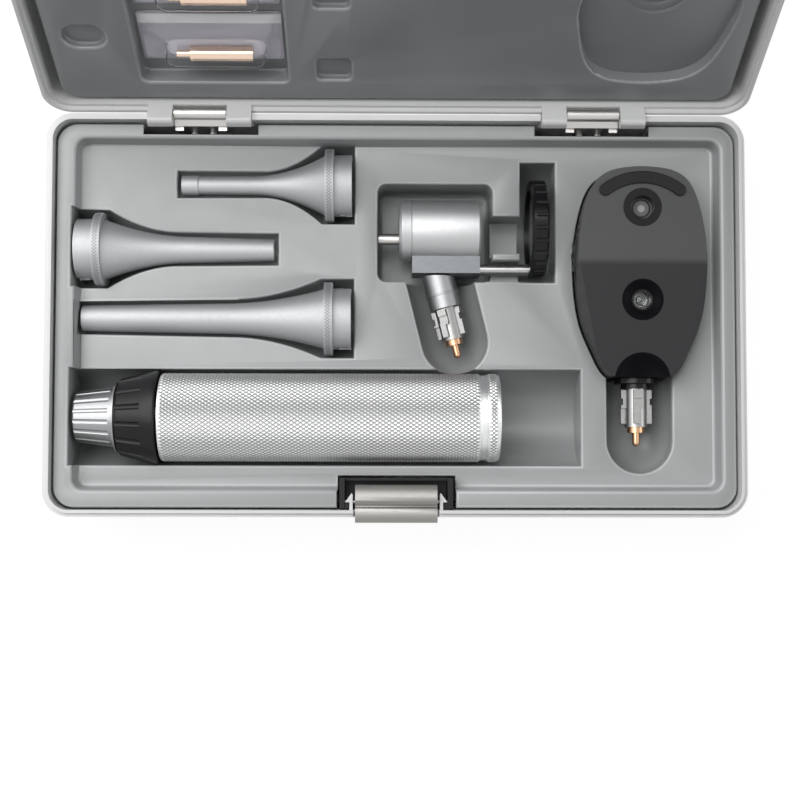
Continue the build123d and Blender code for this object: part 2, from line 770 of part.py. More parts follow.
def lid_insert():
    depth = LID_HEIGHT - SHELL_FLOOR - INSERT_DROP - 0.2
    width = INSERT_BACK - INSERT_FRONT
    middle = HINGE_Y - (INSERT_BACK + INSERT_FRONT) / 2
    level = -INSERT_DROP
    body = slab(INSERT_LENGTH, width, INSERT_CORNER, level, depth, SHELL_DRAFT, y=middle)
    body = fillet(edges_at(body, level), 0.8)
    length = INSERT_LENGTH - 2 * SHEET
    corner = INSERT_CORNER - SHEET
    body -= slab(length, width - 2 * SHEET, corner, level - SHEET, depth, SHELL_DRAFT, y=middle)
    for part in lid_pockets(SHEET):
        body += part
    for part in lid_pockets(0.0):
        body -= part
    near = HINGE_Y - LATCH_PIVOT_Y - 9.2
    body -= block(LATCH_X - 21, LATCH_X + 21, near, near + 10.0, -14, 0)
    return on_lid(body)


def bulb_card(near):
    level = CARD_LEVEL
    middle = near + CARD_WIDTH / 2
    card = slab(CARD_LENGTH, CARD_WIDTH, 1.0, level, CARD_SHEET, x=BULB_POCKET_X, y=middle, up=True)
    return on_lid(card)


def bulb_blister(near):
    """A clear dome over the bulb with a flange stuck on the card."""
    level = CARD_LEVEL + CARD_SHEET
    middle = near + CARD_WIDTH / 2
    axis = near + BULB_IN_CARD
    length, width = CARD_LENGTH - 2.0, CARD_WIDTH - 2.0
    flange = slab(length, width, 1.0, level, BLISTER_SHEET, x=BULB_POCKET_X, y=middle, up=True)
    outer = slab(33.0, 9.0, 4.0, level, 5.7, 6.0, x=-59.0, y=axis, up=True)
    outer = fillet(edges_at(outer, level + 5.7), 1.2)
    length, width = 33.0 - 2 * BLISTER_SHEET, 9.0 - 2 * BLISTER_SHEET
    inner = slab(length, width, 3.6, level, 5.3, 6.0, x=-59.0, y=axis, up=True)
    inner = fillet(edges_at(inner, level + 5.3), 0.9)
    return on_lid(flange + outer - inner)


def spare_bulb(near):
    """A small halogen bulb: glass tip, sleeve, flange and contact pin."""
    y = near + BULB_IN_CARD
    z = CARD_LEVEL + CARD_SHEET + 2.6
    body = rod_x(-66.0, -46.9, y, z, 2.3) + rod_x(-67.2, -66.0, y, z, 2.45)
    body += rod_x(-71.6, -67.0, y, z, 1.2)
    body += rod_x(-47.2, -46.2, y, z, 1.9) + Pos(-46.4, y, z) * Sphere(1.75)
    return on_lid(body)


# ---- handle -------------------------------------------------------------------------


def cone_rod(x0, r0, x1, r1, angle, radius, sink):
    """A rod that lies along a cone round the handle's axis, for ribs and grooves."""
    slope = (r1 - r0) / (x1 - x0)
    length = sqrt((x1 - x0) ** 2 + (r1 - r0) ** 2)
    tilt = Rot(0, 90, 0) * Cylinder(radius, length)
    lean = -57.2957795 * slope
    rod = Pos((x0 + x1) / 2, 0, (r0 + r1) / 2 - sink) * Rot(0, lean, 0) * tilt
    return Pos(0, HANDLE_Y, HANDLE_Z) * Rot(angle, 0, 0) * rod


def turned(points, y, z):
    """A solid of revolution about a line along X through y and z."""
    face = make_face(Polyline(*points, close=True))
    return Pos(0, y, z) * revolve(face, Axis.X, 360)


def handle_tube():
    end = HANDLE_END - CAP_WIDTH
    bore = HANDLE_R - TUBE_WALL
    outline = [
        (TUBE_START, 0),
        (TUBE_START, HANDLE_R - 0.4),
        (TUBE_START + 0.4, HANDLE_R),
        (end - GROOVE_WIDTH, HANDLE_R),
        (end - GROOVE_WIDTH + 0.3, HANDLE_R - 0.4),
        (end, HANDLE_R - 0.4),
        (end, bore),
        (TUBE_START + 4.0, bore),
        (TUBE_START + 4.0, HUB_R),
        (TUBE_START, HUB_R),
    ]
    face = make_face(Polyline(*outline[1:], close=True))
    return Pos(0, HANDLE_Y, HANDLE_Z) * revolve(face, Axis.X, 360)


def handle_end_cap():
    start = HANDLE_END - CAP_WIDTH
    outline = [
        (start - 5.0, 0),
        (start - 5.0, HANDLE_R - TUBE_WALL - PIN_FIT),
        (start + 0.05, HANDLE_R - TUBE_WALL - PIN_FIT),
        (start + 0.05, HANDLE_R - 0.1),
        (start + 0.4, HANDLE_R + 0.2),
        (HANDLE_END - 0.8, HANDLE_R + 0.2),
        (HANDLE_END, HANDLE_R - 0.7),
        (HANDLE_END, 0),
    ]
    return turned(outline, HANDLE_Y, HANDLE_Z)


def brightness_collar():
    """The black ring that is turned for brightness."""
    low = TUBE_START - 1.0 - RING_BLACK_WIDTH + 0.5
    high = TUBE_START - 0.6
    outline = [
        (low, HUB_R + PIN_FIT),
        (low, 12.6),
        (low + 0.6, 13.3),
        (high - 1.6, 15.95),
        (high - 0.4, RING_BLACK_R),
        (high, RING_BLACK_R - 0.5),
        (high, HUB_R + PIN_FIT),
    ]
    body = turned(outline, HANDLE_Y, HANDLE_Z)
    for i in range(COLLAR_GROOVES):
        angle = (i + 0.5) * 360 / COLLAR_GROOVES
        body -= cone_rod(low - 1.0, 13.0, low + 8.6, 15.0, angle, 1.1, -0.45)
    return body


def handle_socket_head():
    """The ribbed socket, its disc and the hub that carries the collar."""
    tip = TUBE_START - 0.6 - RING_BLACK_WIDTH - 0.4 - SOCKET_LENGTH - 0.9
    root = tip + SOCKET_LENGTH
    hub = [
        (tip, PLUG_BORE_R),
        (tip, SOCKET_TIP_R - 0.6),
        (tip + 0.6, SOCKET_TIP_R),
        (root, SOCKET_R),
        (root, 11.9),
        (root + 0.7, 11.9),
        (root + 0.7, HUB_R),
        (TUBE_START + 4.0, HUB_R),
        (TUBE_START + 4.0, CONTACT_R),
        (tip + 13.0, CONTACT_R),
        (tip + 13.0, PLUG_BORE_R),
    ]
    face = make_face(Polyline(*hub, close=True))
    body = Pos(0, HANDLE_Y, HANDLE_Z) * revolve(face, Axis.X, 360)
    for i in range(SOCKET_RIBS):
        angle = (i + 0.5) * 360 / SOCKET_RIBS
        body -= cone_rod(tip - 1.0, SOCKET_TIP_R, root - 1.4, SOCKET_R, angle, 1.1, -0.55)
    return body


def handle_contact():
    """The sprung centre contact between the battery and the socket."""
    start = TUBE_START - 10.0
    body = rod_x(start, TUBE_START + 9.5, HANDLE_Y, HANDLE_Z, CONTACT_R)
    return body + rod_x(TUBE_START + 7.5, TUBE_START + 9.5, HANDLE_Y, HANDLE_Z, 3.0)


def handle_battery():
    start = TUBE_START + 9.6
    body = rod_x(start, start + BATTERY_LENGTH, HANDLE_Y, HANDLE_Z, BATTERY_R)
    return chamfer(body.edges().filter_by(GeomType.CIRCLE), 0.8)


def battery_spring():
    """A coil between the battery and the end cap."""
    start = TUBE_START + 9.7 + BATTERY_LENGTH
    length = HANDLE_END - CAP_WIDTH - 5.1 - start
    turns = 4
    coil = Helix(pitch=(length - 1.2) / turns, height=length - 1.2, radius=6.0)
    wire = Circle(0.45)
    path = Wire(coil.edges())
    section = Plane(origin=path @ 0, z_dir=path % 0) * wire
    body = sweep(section, path=path)
    return Pos(start + 0.6, HANDLE_Y, HANDLE_Z) * Rot(0, 90, 0) * body


# ---- specula ------------------------------------------------------------------------


def speculum(name):
    """A hollow funnel: slim tube, flare, knurl ring and bayonet collar."""
    spec = SPECULA[name]
    length = spec["length"]
    ring = length - RING_WIDTH - COLLAR_WIDTH
    start = ring - spec["flare"]
    tip_r, tube_r = spec["tip_r"], spec["tube_r"]
    wall = SPECULUM_WALL
    knee = (start + ring) / 2
    edge = Line((0, tip_r - wall), (0, tip_r - 0.3))
    edge += Line((0, tip_r - 0.3), (0.3, tip_r))
    edge += Line((0.3, tip_r), (start, tube_r))
    edge += Bezier((start, tube_r), (knee, tube_r), (ring, CONE_R))
    edge += Line((ring, CONE_R), (ring, RING_R))
    edge += Line((ring, RING_R), (ring + RING_WIDTH, RING_R))
    edge += Line((ring + RING_WIDTH, RING_R), (ring + RING_WIDTH, COLLAR_R))
    edge += Line((ring + RING_WIDTH, COLLAR_R), (length, COLLAR_R))
    edge += Line((length, COLLAR_R), (length, COLLAR_R - 1.0))
    edge += Line((length, COLLAR_R - 1.0), (ring, CONE_R - wall))
    edge += Bezier((ring, CONE_R - wall), (knee, tube_r - wall), (start, tube_r - wall))
    edge += Line((start, tube_r - wall), (0, tip_r - wall))
    body = revolve(make_face(edge), Axis.X, 360)
    for side in (-1, 1):
        slot = Pos(length - 1.0, side * COLLAR_R, 0.5) * Box(3.0, 2.6, 4.2)
        body -= slot
        body -= Pos(length - 3.0, side * COLLAR_R, 1.6) * Box(2.2, 2.6, 2.0)
    turn = 0 if spec["way"] > 0 else 180
    return Pos(spec["tip"], spec["y"], SPECULUM_Z) * Rot(0, 0, turn) * body


# ---- otoscope head ------------------------------------------------------------------


def along_neck(distance):
    """A place on the neck's axis, turned so that -Y runs down the neck."""
    tilt = radians(NECK_TILT)
    x = NECK_X + distance * sin(tilt)
    y = BLOCK_FRONT - distance * cos(tilt)
    return Pos(x, y, OTO_Z) * Rot(0, 0, NECK_TILT) * Rot(-90, 0, 0)


def neck_rod(start, end, radius):
    return along_neck((start + end) / 2) * Cylinder(radius, end - start)


def otoscope_barrel():
    start = OTO_X + FLANGE_WIDTH
    end = OTO_X + BARREL_LENGTH
    outline = [
        (start, BARREL_BORE),
        (start, BARREL_R - 0.15),
        (start + 0.3, BARREL_R),
        (end - 0.7, BARREL_R),
        (end, BARREL_R - 0.7),
        (end, BARREL_BORE),
    ]
    body = turned(outline, OTO_Y, OTO_Z)
    return body - rod_y(OTO_X + 9.0, 10.0, OTO_Y - 3.0, OTO_Z, ROD_R)


def otoscope_flange():
    start = OTO_X
    end = OTO_X + FLANGE_WIDTH
    outline = [
        (start, BARREL_BORE - 0.6),
        (start, BARREL_R - 0.8),
        (start + 1.0, BARREL_R + 0.1),
        (end - 0.2, BARREL_R + 0.1),
        (end, BARREL_R - 0.15),
        (end, BARREL_BORE - 0.6),
    ]
    return turned(outline, OTO_Y, OTO_Z)


def bracket_block():
    low, high = OTO_X + FLANGE_WIDTH + 0.1, OTO_X + BARREL_LENGTH - 0.2
    top, bottom = OTO_Z + BLOCK_HALF, OTO_Z - BLOCK_HALF
    outline = [
        (BLOCK_FRONT, OTO_Z + 3.4),
        (BLOCK_FRONT + 0.8, top),
        (BLOCK_FRONT + 11.0, top),
        (BLOCK_FRONT + 11.0, bottom),
        (BLOCK_FRONT + 0.8, bottom),
        (BLOCK_FRONT, OTO_Z - 3.4),
    ]
    body = plate(outline, low, high)
    body -= rod_x(low - 1, high + 1, OTO_Y, OTO_Z, BARREL_R)
    body -= rod_x(high - 6.0, high + 1, ROD_Y, OTO_Z, ROD_R + PIN_FIT)
    return body - rod_y(OTO_X + 9.0, BLOCK_FRONT + 2.0, OTO_Y, OTO_Z, ROD_R)


def light_tube():
    """The bent tube that carries light from the neck through the barrel."""
    y = OTO_Y - 3.0
    turn = OTO_X + 9.0
    body = rod_x(OTO_X - 7.1, turn, y, OTO_Z, ROD_R) + Pos(turn, y, OTO_Z) * Sphere(ROD_R)
    body += rod_y(turn, BLOCK_FRONT + 2.0, y, OTO_Z, ROD_R)
    return body - rod_x(OTO_X - 8.0, OTO_X - 2.0, y, OTO_Z, ROD_R - 0.5)


def lens_rod():
    return rod_x(OTO_X + BARREL_LENGTH - 5.8, LENS_X + 2.5, ROD_Y, OTO_Z, ROD_R)


def lens_rim():
    """The grip rim of the swinging lens."""
    high = LENS_X + LENS_WIDTH
    outline = [
        (LENS_X, LENS_GLASS_R - 0.8),
        (LENS_X, LENS_R - 0.6),
        (LENS_X + 0.6, LENS_R),
        (high - 0.6, LENS_R),
        (high, LENS_R - 0.6),
        (high, LENS_GLASS_R),
        (LENS_X + 1.0, LENS_GLASS_R),
        (LENS_X + 1.0, LENS_GLASS_R - 0.8),
    ]
    body = turned(outline, LENS_Y, OTO_Z)
    for i in range(LENS_GROOVES):
        angle = (i + 0.5) * 360 / LENS_GROOVES
        groove = Pos(LENS_X + 3.8, 0, LENS_R + 0.45) * Rot(0, 90, 0) * Cylinder(0.9, 5.0)
        body -= Pos(0, LENS_Y, OTO_Z) * Rot(angle, 0, 0) * groove
    boss = rod_x(LENS_X, high - 1.4, ROD_Y, OTO_Z, ROD_R + 0.35)
    body += boss & rod_x(LENS_X, high, LENS_Y, OTO_Z, LENS_R)
    return body - rod_x(LENS_X - 1, LENS_X + 2.5, ROD_Y, OTO_Z, ROD_R)


def lens_glass():
    """A magnifier with one flat and one domed face."""
    radius = LENS_GLASS_R - 0.02
    back, edge, front = LENS_X + 1.0, LENS_X + 2.4, LENS_X + 4.6
    outline = Line((back, 0), (back, radius))
    outline += Line((back, radius), (edge, radius))
    outline += ThreePointArc((edge, radius), (edge + 1.65, radius / 2), (front, 0))
    outline += Line((front, 0), (back, 0))
    body = Pos(0, LENS_Y, OTO_Z) * revolve(make_face(outline), Axis.X, 360)
    return body - rod_x(LENS_X, LENS_X + 5.5, ROD_Y, OTO_Z, ROD_R + 0.36)


def otoscope_neck():
    body = neck_rod(-1.5, NECK_STEP, NECK_R)
    body += neck_rod(NECK_STEP, NECK_LENGTH, NECK_R - 0.15)
    body += neck_rod(NECK_STEP - 0.3, NECK_STEP + 0.3, NECK_R + 0.15)
    return body - behind_bracket_front()


def behind_bracket_front():
    """Everything behind the front face of the bracket block, where the neck ends."""
    low, high = OTO_X, OTO_X + BARREL_LENGTH
    return block(low, high, BLOCK_FRONT, OTO_Y, OTO_Z - 9.0, OTO_Z + 9.0)


def plug(length):
    """A bayonet plug that points down -Z from its shoulder, with four stepped lugs."""
    body = Pos(0, 0, -length / 2) * Cylinder(3.9, length)
    for i in range(4):
        lug = Pos(4.3, 0, -length / 2 + 0.4) * Box(1.9, 3.0, length - 1.6)
        lug -= Pos(5.1, 0, -length * 0.34) * Box(1.0, 3.4, 2.2)
        lug -= Pos(4.6, 1.2, -length * 0.72) * Box(2.4, 1.4, length * 0.42)
        body += Rot(0, 0, 45 + 90 * i) * lug
    return body - Pos(0, 0, -length / 2) * Cylinder(2.65, length + 2)


def plug_bulb(length):
    """The bulb held in a plug: glass, sleeve, gold flange and pin."""
    body = Pos(0, 0, -length / 2 - 0.5) * Cylinder(2.6, length - 1)
    body += Pos(0, 0, -length - 0.95) * Cylinder(3.0, 1.9)
    body += Pos(0, 0, -length - 3.55) * Cylinder(1.3, 3.5)
    return body + Pos(0, 0, -length - 5.3) * Sphere(1.3)


def otoscope_plug_place():
    return along_neck(NECK_LENGTH)


def otoscope_connector():
    return otoscope_plug_place() * Rot(0, 0, 20) * plug(OTO_PLUG_LENGTH)


def otoscope_bulb():
    return otoscope_plug_place() * plug_bulb(OTO_PLUG_LENGTH)


# ---- ophthalmoscope head ------------------------------------------------------------

OPH_SIDE = [
    (12.0, -18.9),
    (15.6, -12.2),
    (18.9, -4.6),
    (20.7, 3.0),
    (21.6, 12.0),
    (21.7, 20.0),
    (21.0, 28.0),
    (19.8, 34.5),
    (17.9, 40.9),
    (14.9, 46.0),
    (10.4, 48.8),
    (5.0, 49.9),
]


def oph_points(offset):
    """Points up the right side of the head, pushed outwards by an offset."""
    side = [(10.4, OPH_BASE + 0.2)] + OPH_SIDE + [(0.0, OPH_TOP)]
    moved = []
    for i in range(len(side) - 1):
        ax, ay = side[max(i - 1, 0)]
        bx, by = side[i + 1]
        length = sqrt((bx - ax) ** 2 + (by - ay) ** 2)
        x, y = side[i]
        moved.append((x + offset * (by - ay) / length, y - offset * (bx - ax) / length))
    return moved


def oph_face(offset, level):
    """The outline of the head, widened by an offset."""
    side = oph_points(offset)
    right = [(OPH_X + x, y) for x, y in side]
    left = [(OPH_X - x, y) for x, y in side]
    top = (OPH_X, OPH_TOP + offset)
    foot = OPH_BASE - offset
    edge = Spline(*(right + [top] + left[::-1]))
    edge += Line(left[0], (OPH_X - 9.8, foot))
    edge += Line((OPH_X - 9.8, foot), (OPH_X + 9.8, foot))
    edge += Line((OPH_X + 9.8, foot), right[0])
    return Plane.XY.offset(level) * make_face(edge)


def oph_layer(high, low, inset=0.0):
    return extrude(oph_face(-inset, high), amount=high - low, dir=(0, 0, -1))


def ophthalmoscope_front():
    """The front housing: a raised middle panel with sloping sides."""
    high, low = OPH_FACE_Z, RIM - WHEEL_DROP + WHEEL_WIDTH + WHEEL_SLOT
    body = oph_layer(high, low)
    for side in (-1, 1):
        middle = Vector(OPH_X + side * 14.1, 0.0, high)
        tilt = 13.0
        cut = Pos(*middle) * Rot(0, 0, -21.4 * side) * Rot(0, side * tilt, 0)
        body -= cut * Pos(side * 15.0, 4.0, 5.0) * Box(30.0, 90.0, 10.0)
    lower = Pos(OPH_X, FACE_SLOPE_Y, high) * Rot(FACE_SLOPE, 0, 0)
    body -= lower * Pos(0, -30.0, 5.0) * Box(60.0, 60.0, 10.0)
    body -= Pos(OPH_X, OPH_BASE - 1.2, high + 2.9) * scaled_ball(10.4, 11.4, 6.4)
    body -= rod_z(OPH_X, WINDOW_HIGH_Y, low - 1, high + 1, 4.7)
    body -= rod_z(OPH_X, WINDOW_HIGH_Y, high - 0.6, high + 1, 6.5)
    body -= rod_z(OPH_X, WINDOW_LOW_Y, low - 1, high + 1, 3.7)
    cone = Pos(OPH_X, WINDOW_LOW_Y, high - 0.9) * Cone(3.7, 7.2, 2.0)
    body -= cone
    return body - wheel_axle_hole()


def scaled_ball(x, y, z):
    """An ellipsoid."""
    return scale(Sphere(1.0), by=(x, y, z))


def wheel_axle_hole():
    return rod_z(OPH_X, WHEEL_Y, OPH_FACE_Z - 7.0, OPH_FACE_Z - 2.0, 2.0)


def ophthalmoscope_rear():
    """The rear housing, slotted for the lens wheel and bored for the view."""
    high = RIM - WHEEL_DROP + WHEEL_WIDTH + WHEEL_SLOT
    body = oph_layer(high, OPH_BACK_Z)
    slot_low = RIM - WHEEL_DROP - WHEEL_SLOT
    body -= rod_z(OPH_X, WHEEL_Y, slot_low, high + 1, WHEEL_R + 0.4)
    back = body.edges().group_by(Axis.Z)[0]
    body = chamfer(back, 1.6)
    body -= rod_z(OPH_X, WINDOW_HIGH_Y, OPH_BACK_Z - 1, high, 2.4)
    body -= rod_z(OPH_X, WHEEL_Y, slot_low - 4.0, high, 2.0)
    return body - rod_y(OPH_X, OPH_BASE - 1, OPH_BASE + 16.0, OPH_NECK_Z, 3.2)


def brow_rest():
    """A soft arc on the face above the viewing window."""
    radius, half = 20.6, 2.05
    level = OPH_FACE_Z
    center = (OPH_X, 25.8)
    arc_half = 37.7
    ring = rod_z(*center, level, level + 0.8, radius + half)
    ring -= rod_z(*center, level - 1, level + 2, radius - half)
    reach = 40.0
    wedge = [center]
    for angle in (90 - arc_half, 90, 90 + arc_half):
        wedge.append((center[0] + reach * cos(radians(angle)), center[1] + reach * sin(radians(angle))))
    body = ring & flat(wedge, level - 1, level + 3)
    for angle in (90 - arc_half, 90 + arc_half):
        x = center[0] + radius * cos(radians(angle))
        y = center[1] + radius * sin(radians(angle))
        body += rod_z(x, y, level, level + 0.8, half)
    return body


def washer(x, y, low, high, outer, inner):
    """A flat ring."""
    return rod_z(x, y, low, high, outer) - rod_z(x, y, low - 1, high + 1, inner)


def viewing_ring():
    top = OPH_FACE_Z + 0.15
    body = washer(OPH_X, WINDOW_HIGH_Y, OPH_FACE_Z - 0.6, top, 6.45, 3.9)
    return body + washer(OPH_X, WINDOW_HIGH_Y, OPH_FACE_Z - 4.0, OPH_FACE_Z - 0.5, 4.65, 3.9)


def viewing_glass():
    return rod_z(OPH_X, WINDOW_HIGH_Y, OPH_FACE_Z - 4.0, OPH_FACE_Z - 3.0, 3.88)


def aperture_ring():
    top = OPH_FACE_Z - 1.6
    return washer(OPH_X, WINDOW_LOW_Y, OPH_FACE_Z - 4.6, top, 3.68, 3.0)


def display_lens():
    """The domed magnifier of the lower window."""
    level = OPH_FACE_Z - 4.6
    body = rod_z(OPH_X, WINDOW_LOW_Y, level, level + 1.0, 2.98)
    dome = Pos(OPH_X, WINDOW_LOW_Y, level + 1.6 - 3.4) * Sphere(3.4)
    return body + (dome & rod_z(OPH_X, WINDOW_LOW_Y, level + 0.5, level + 2.5, 2.98))


def lens_wheel():
    """The scalloped wheel with sixteen lens seats."""
    low = RIM - WHEEL_DROP
    high = low + WHEEL_WIDTH
    body = rod_z(OPH_X, WHEEL_Y, low, high, WHEEL_R)
    body = chamfer(body.edges().filter_by(GeomType.CIRCLE), 0.6)
    seat = WINDOW_HIGH_Y - WHEEL_Y
    for i in range(WHEEL_COUNT):
        angle = radians((i + 0.5) * 360 / WHEEL_COUNT)
        x = OPH_X + (WHEEL_R + 1.3) * cos(angle)
        y = WHEEL_Y + (WHEEL_R + 1.3) * sin(angle)
        body -= rod_z(x, y, low - 1, high + 1, 2.0)
    for x, y in wheel_seats(seat):
        body -= rod_z(x, y, low - 1, high + 1, 2.2)
    return body - rod_z(OPH_X, WHEEL_Y, low - 1, high + 1, 2.0 + PIN_FIT)


def wheel_seats(radius):
    places = []
    for i in range(16):
        angle = radians(90 + i * 22.5)
        places.append((OPH_X + radius * cos(angle), WHEEL_Y + radius * sin(angle)))
    return places


def wheel_lenses():
    """Fifteen small lenses; one seat of the wheel is left open."""
    low = RIM - WHEEL_DROP + 1.4
    seats = wheel_seats(WINDOW_HIGH_Y - WHEEL_Y)
    return [rod_z(x, y, low, low + 1.2, 2.19) for x, y in seats[1:]]


def wheel_axle():
    low = RIM - WHEEL_DROP - WHEEL_SLOT - 4.0
    return rod_z(OPH_X, WHEEL_Y, low, OPH_FACE_Z - 2.0, 1.99)


def ophthalmoscope_neck():
    """The black collar between the housing and the bayonet plug."""
    body = rod_y(OPH_X, OPH_BASE - 2.0, OPH_BASE, OPH_NECK_Z, 7.5)
    body += rod_y(OPH_X, OPH_BASE - OPH_COLLAR, OPH_BASE - 2.0, OPH_NECK_Z, 5.1)
    return body + rod_y(OPH_X, OPH_BASE, OPH_BASE + 14.0, OPH_NECK_Z, 3.18)


def oph_plug_place():
    return Pos(OPH_X, OPH_BASE - OPH_COLLAR, OPH_NECK_Z) * Rot(-90, 0, 0)


def ophthalmoscope_connector():
    return oph_plug_place() * Rot(0, 0, 45) * plug(OPH_PLUG_LENGTH)


def ophthalmoscope_bulb():
    return oph_plug_place() * plug_bulb(OPH_PLUG_LENGTH)


# ---- all nodes ----------------------------------------------------------------------


def nodes():
    """Every node with its solids."""
    left, right = HINGE_XS
    near, far = CARD_NEAR
    made = {
        "base_shell": base_shell(),
        "base_tray": base_tray(),
        "hinge_bracket_left": hinge_bracket(left),
        "hinge_bracket_right": hinge_bracket(right),
        "hinge_pins": [hinge_pin(left), hinge_pin(right)],
        "hinge_screws": hinge_screws(),
        "latch_housing": latch_housing(),
        "latch_pin": latch_pin(),
        "latch_springs": latch_springs(),
        "latch_plate": latch_plate(),
        "lid_shell": lid_shell(),
        "lid_insert": lid_insert(),
        "lid_catch": lid_catch(),
        "catch_screws": catch_screws(),
        "bulb_card_1": bulb_card(near),
        "bulb_blister_1": bulb_blister(near),
        "spare_bulb_1": spare_bulb(near),
        "bulb_card_2": bulb_card(far),
        "bulb_blister_2": bulb_blister(far),
        "spare_bulb_2": spare_bulb(far),
        "handle_tube": handle_tube(),
        "handle_end_cap": handle_end_cap(),
        "brightness_collar": brightness_collar(),
        "handle_socket_head": handle_socket_head(),
        "handle_contact": handle_contact(),
        "handle_battery": handle_battery(),
        "battery_spring": battery_spring(),
        "otoscope_barrel": otoscope_barrel(),
        "otoscope_flange": otoscope_flange(),
        "bracket_block": bracket_block(),
        "light_tube": light_tube(),
        "lens_rod": lens_rod(),
        "lens_rim": lens_rim(),
        "lens_glass": lens_glass(),
        "otoscope_neck": otoscope_neck(),
        "otoscope_connector": otoscope_connector(),
        "otoscope_bulb": otoscope_bulb(),
        "ophthalmoscope_front": ophthalmoscope_front(),
        "ophthalmoscope_rear": ophthalmoscope_rear(),
        "brow_rest": brow_rest(),
        "viewing_ring": viewing_ring(),
        "viewing_glass": viewing_glass(),
        "aperture_ring": aperture_ring(),
        "display_lens": display_lens(),
        "lens_wheel": lens_wheel(),
        "wheel_lenses": wheel_lenses(),
        "wheel_axle": wheel_axle(),
        "ophthalmoscope_neck": ophthalmoscope_neck(),
        "ophthalmoscope_connector": ophthalmoscope_connector(),
        "ophthalmoscope_bulb": ophthalmoscope_bulb(),
    }
    for name in SPECULA:
        made[name] = speculum(name)
    return made


def save(name, made):
    """Write one node, as a single solid or as a group of solids."""
    solids = []
    for shape in made if isinstance(made, list) else [made]:
        solids.extend(shape.solids())
    body = solids[0] if len(solids) == 1 else Compound(solids)
    export_step(body, "parts/" + name + ".step")


for node_name, node_shape in nodes().items():
    save(node_name, node_shape)
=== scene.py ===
"""Hard carry case, open, with an otoscope head, an ophthalmoscope head, a battery
handle, three ear specula and two packs of spare bulbs."""

import json
import math

import bmesh
import bpy
from mathutils import Matrix, Vector

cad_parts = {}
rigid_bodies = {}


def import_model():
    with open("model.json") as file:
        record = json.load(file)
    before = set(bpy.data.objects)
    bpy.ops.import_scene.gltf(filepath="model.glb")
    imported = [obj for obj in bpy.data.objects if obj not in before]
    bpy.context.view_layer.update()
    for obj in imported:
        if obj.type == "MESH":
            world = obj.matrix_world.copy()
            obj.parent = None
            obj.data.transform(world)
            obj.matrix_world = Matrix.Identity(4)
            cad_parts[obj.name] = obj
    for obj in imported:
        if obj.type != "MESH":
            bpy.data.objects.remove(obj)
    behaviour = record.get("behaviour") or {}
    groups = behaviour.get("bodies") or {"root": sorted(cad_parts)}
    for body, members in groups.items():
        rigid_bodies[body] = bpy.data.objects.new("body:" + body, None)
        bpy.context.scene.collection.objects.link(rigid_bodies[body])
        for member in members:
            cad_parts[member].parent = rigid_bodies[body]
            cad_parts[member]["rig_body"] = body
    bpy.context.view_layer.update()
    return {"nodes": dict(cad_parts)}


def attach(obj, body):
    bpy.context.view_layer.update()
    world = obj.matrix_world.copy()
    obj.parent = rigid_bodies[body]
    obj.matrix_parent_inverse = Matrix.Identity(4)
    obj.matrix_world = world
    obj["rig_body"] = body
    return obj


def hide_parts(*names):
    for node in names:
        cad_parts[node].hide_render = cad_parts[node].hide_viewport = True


bl_info = {
    "name": "Otoscope carry case",
    "version": (1, 0, 0),
    "blender": (4, 5, 0),
    "location": "View3D > Sidebar > Carry case",
    "description": "Dresses the carry case and its instruments",
    "category": "Object",
}

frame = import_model()
NODES = frame["nodes"]

MM = 0.001
HINGE = Vector((0.0, 0.068, 0.035))
LID_OPEN = math.radians(115)
INSERT_OFFSET = 0.0003
# Lid coordinates: x along the case, y away from the hinge, z out of the insert's face.
LID_PLACE = (
    Matrix.Translation(HINGE)
    @ Matrix.Rotation(-LID_OPEN, 4, "X")
    @ Matrix.Translation((0, 0, INSERT_OFFSET))
    @ Matrix.Rotation(math.pi, 4, "X")
)


# ---- sizes and colours ---------------------------------------------------------------


def colour(label, value):
    """A base colour for the sidebar."""
    return bpy.props.FloatVectorProperty(
        name=label,
        description="Base colour of " + label.lower(),
        subtype="COLOR",
        size=3,
        min=0.0,
        max=1.0,
        default=value,
    )


def length(label, value, about):
    """A size for the sidebar, given in millimetres."""
    return bpy.props.FloatProperty(
        name=label,
        description=about,
        default=value * MM,
        min=0.0,
        precision=5,
        subtype="DISTANCE",
        unit="LENGTH",
    )


class CaseColours(bpy.types.PropertyGroup):
    """Base colours of the finishes"""

    shell: colour("Case shell", (0.72, 0.725, 0.72))
    formed: colour("Formed tray", (0.35, 0.361, 0.363))
    # Painted shade: the lid insert is painted darker than the formed tray because it faces away
    # from the lamp.
    insert: colour("Lid insert", (0.245, 0.256, 0.264))
    alloy: colour("Satin alloy", (0.46, 0.465, 0.47))
    plating: colour("Speculum plating", (0.42, 0.425, 0.435))
    steel: colour("Plain steel", (0.54, 0.53, 0.515))
    black: colour("Black plastic", (0.012, 0.012, 0.0135))
    head: colour("Head housing", (0.050, 0.051, 0.053))
    gold: colour("Gold contact", (0.60, 0.36, 0.22))
    card: colour("Bulb card", (0.50, 0.49, 0.54))


class CaseSizes(bpy.types.PropertyGroup):
    """Sizes of the fine detail"""

    knurl_pitch: length("Handle knurl", 2.03, "Spacing of the diamonds along the handle")
    knurl_turn: length("Handle knurl round", 1.36, "Spacing of the diamonds round it")
    knurl_depth: length("Knurl depth", 0.28, "Height of the diamonds on the handle")
    fine_pitch: length("Fine knurl", 1.1, "Spacing of the diamonds on the specula")
    fine_depth: length("Fine knurl depth", 0.14, "Height of the diamonds on the specula")
    lip_round: length("Tray rounding", 0.95, "Rounding of the formed tray's edges")
    edge_round: length("Small rounding", 0.25, "Rounding of edges of hard parts")


def colours():
    """The colours in the sidebar."""
    return bpy.context.scene.case_colours


def sizes():
    """The sizes in the sidebar."""
    return bpy.context.scene.case_sizes


# ---- materials -----------------------------------------------------------------------


# Sockets of the mix node that carry colours.
MIX_A, MIX_B, MIX_OUT = 6, 7, 2
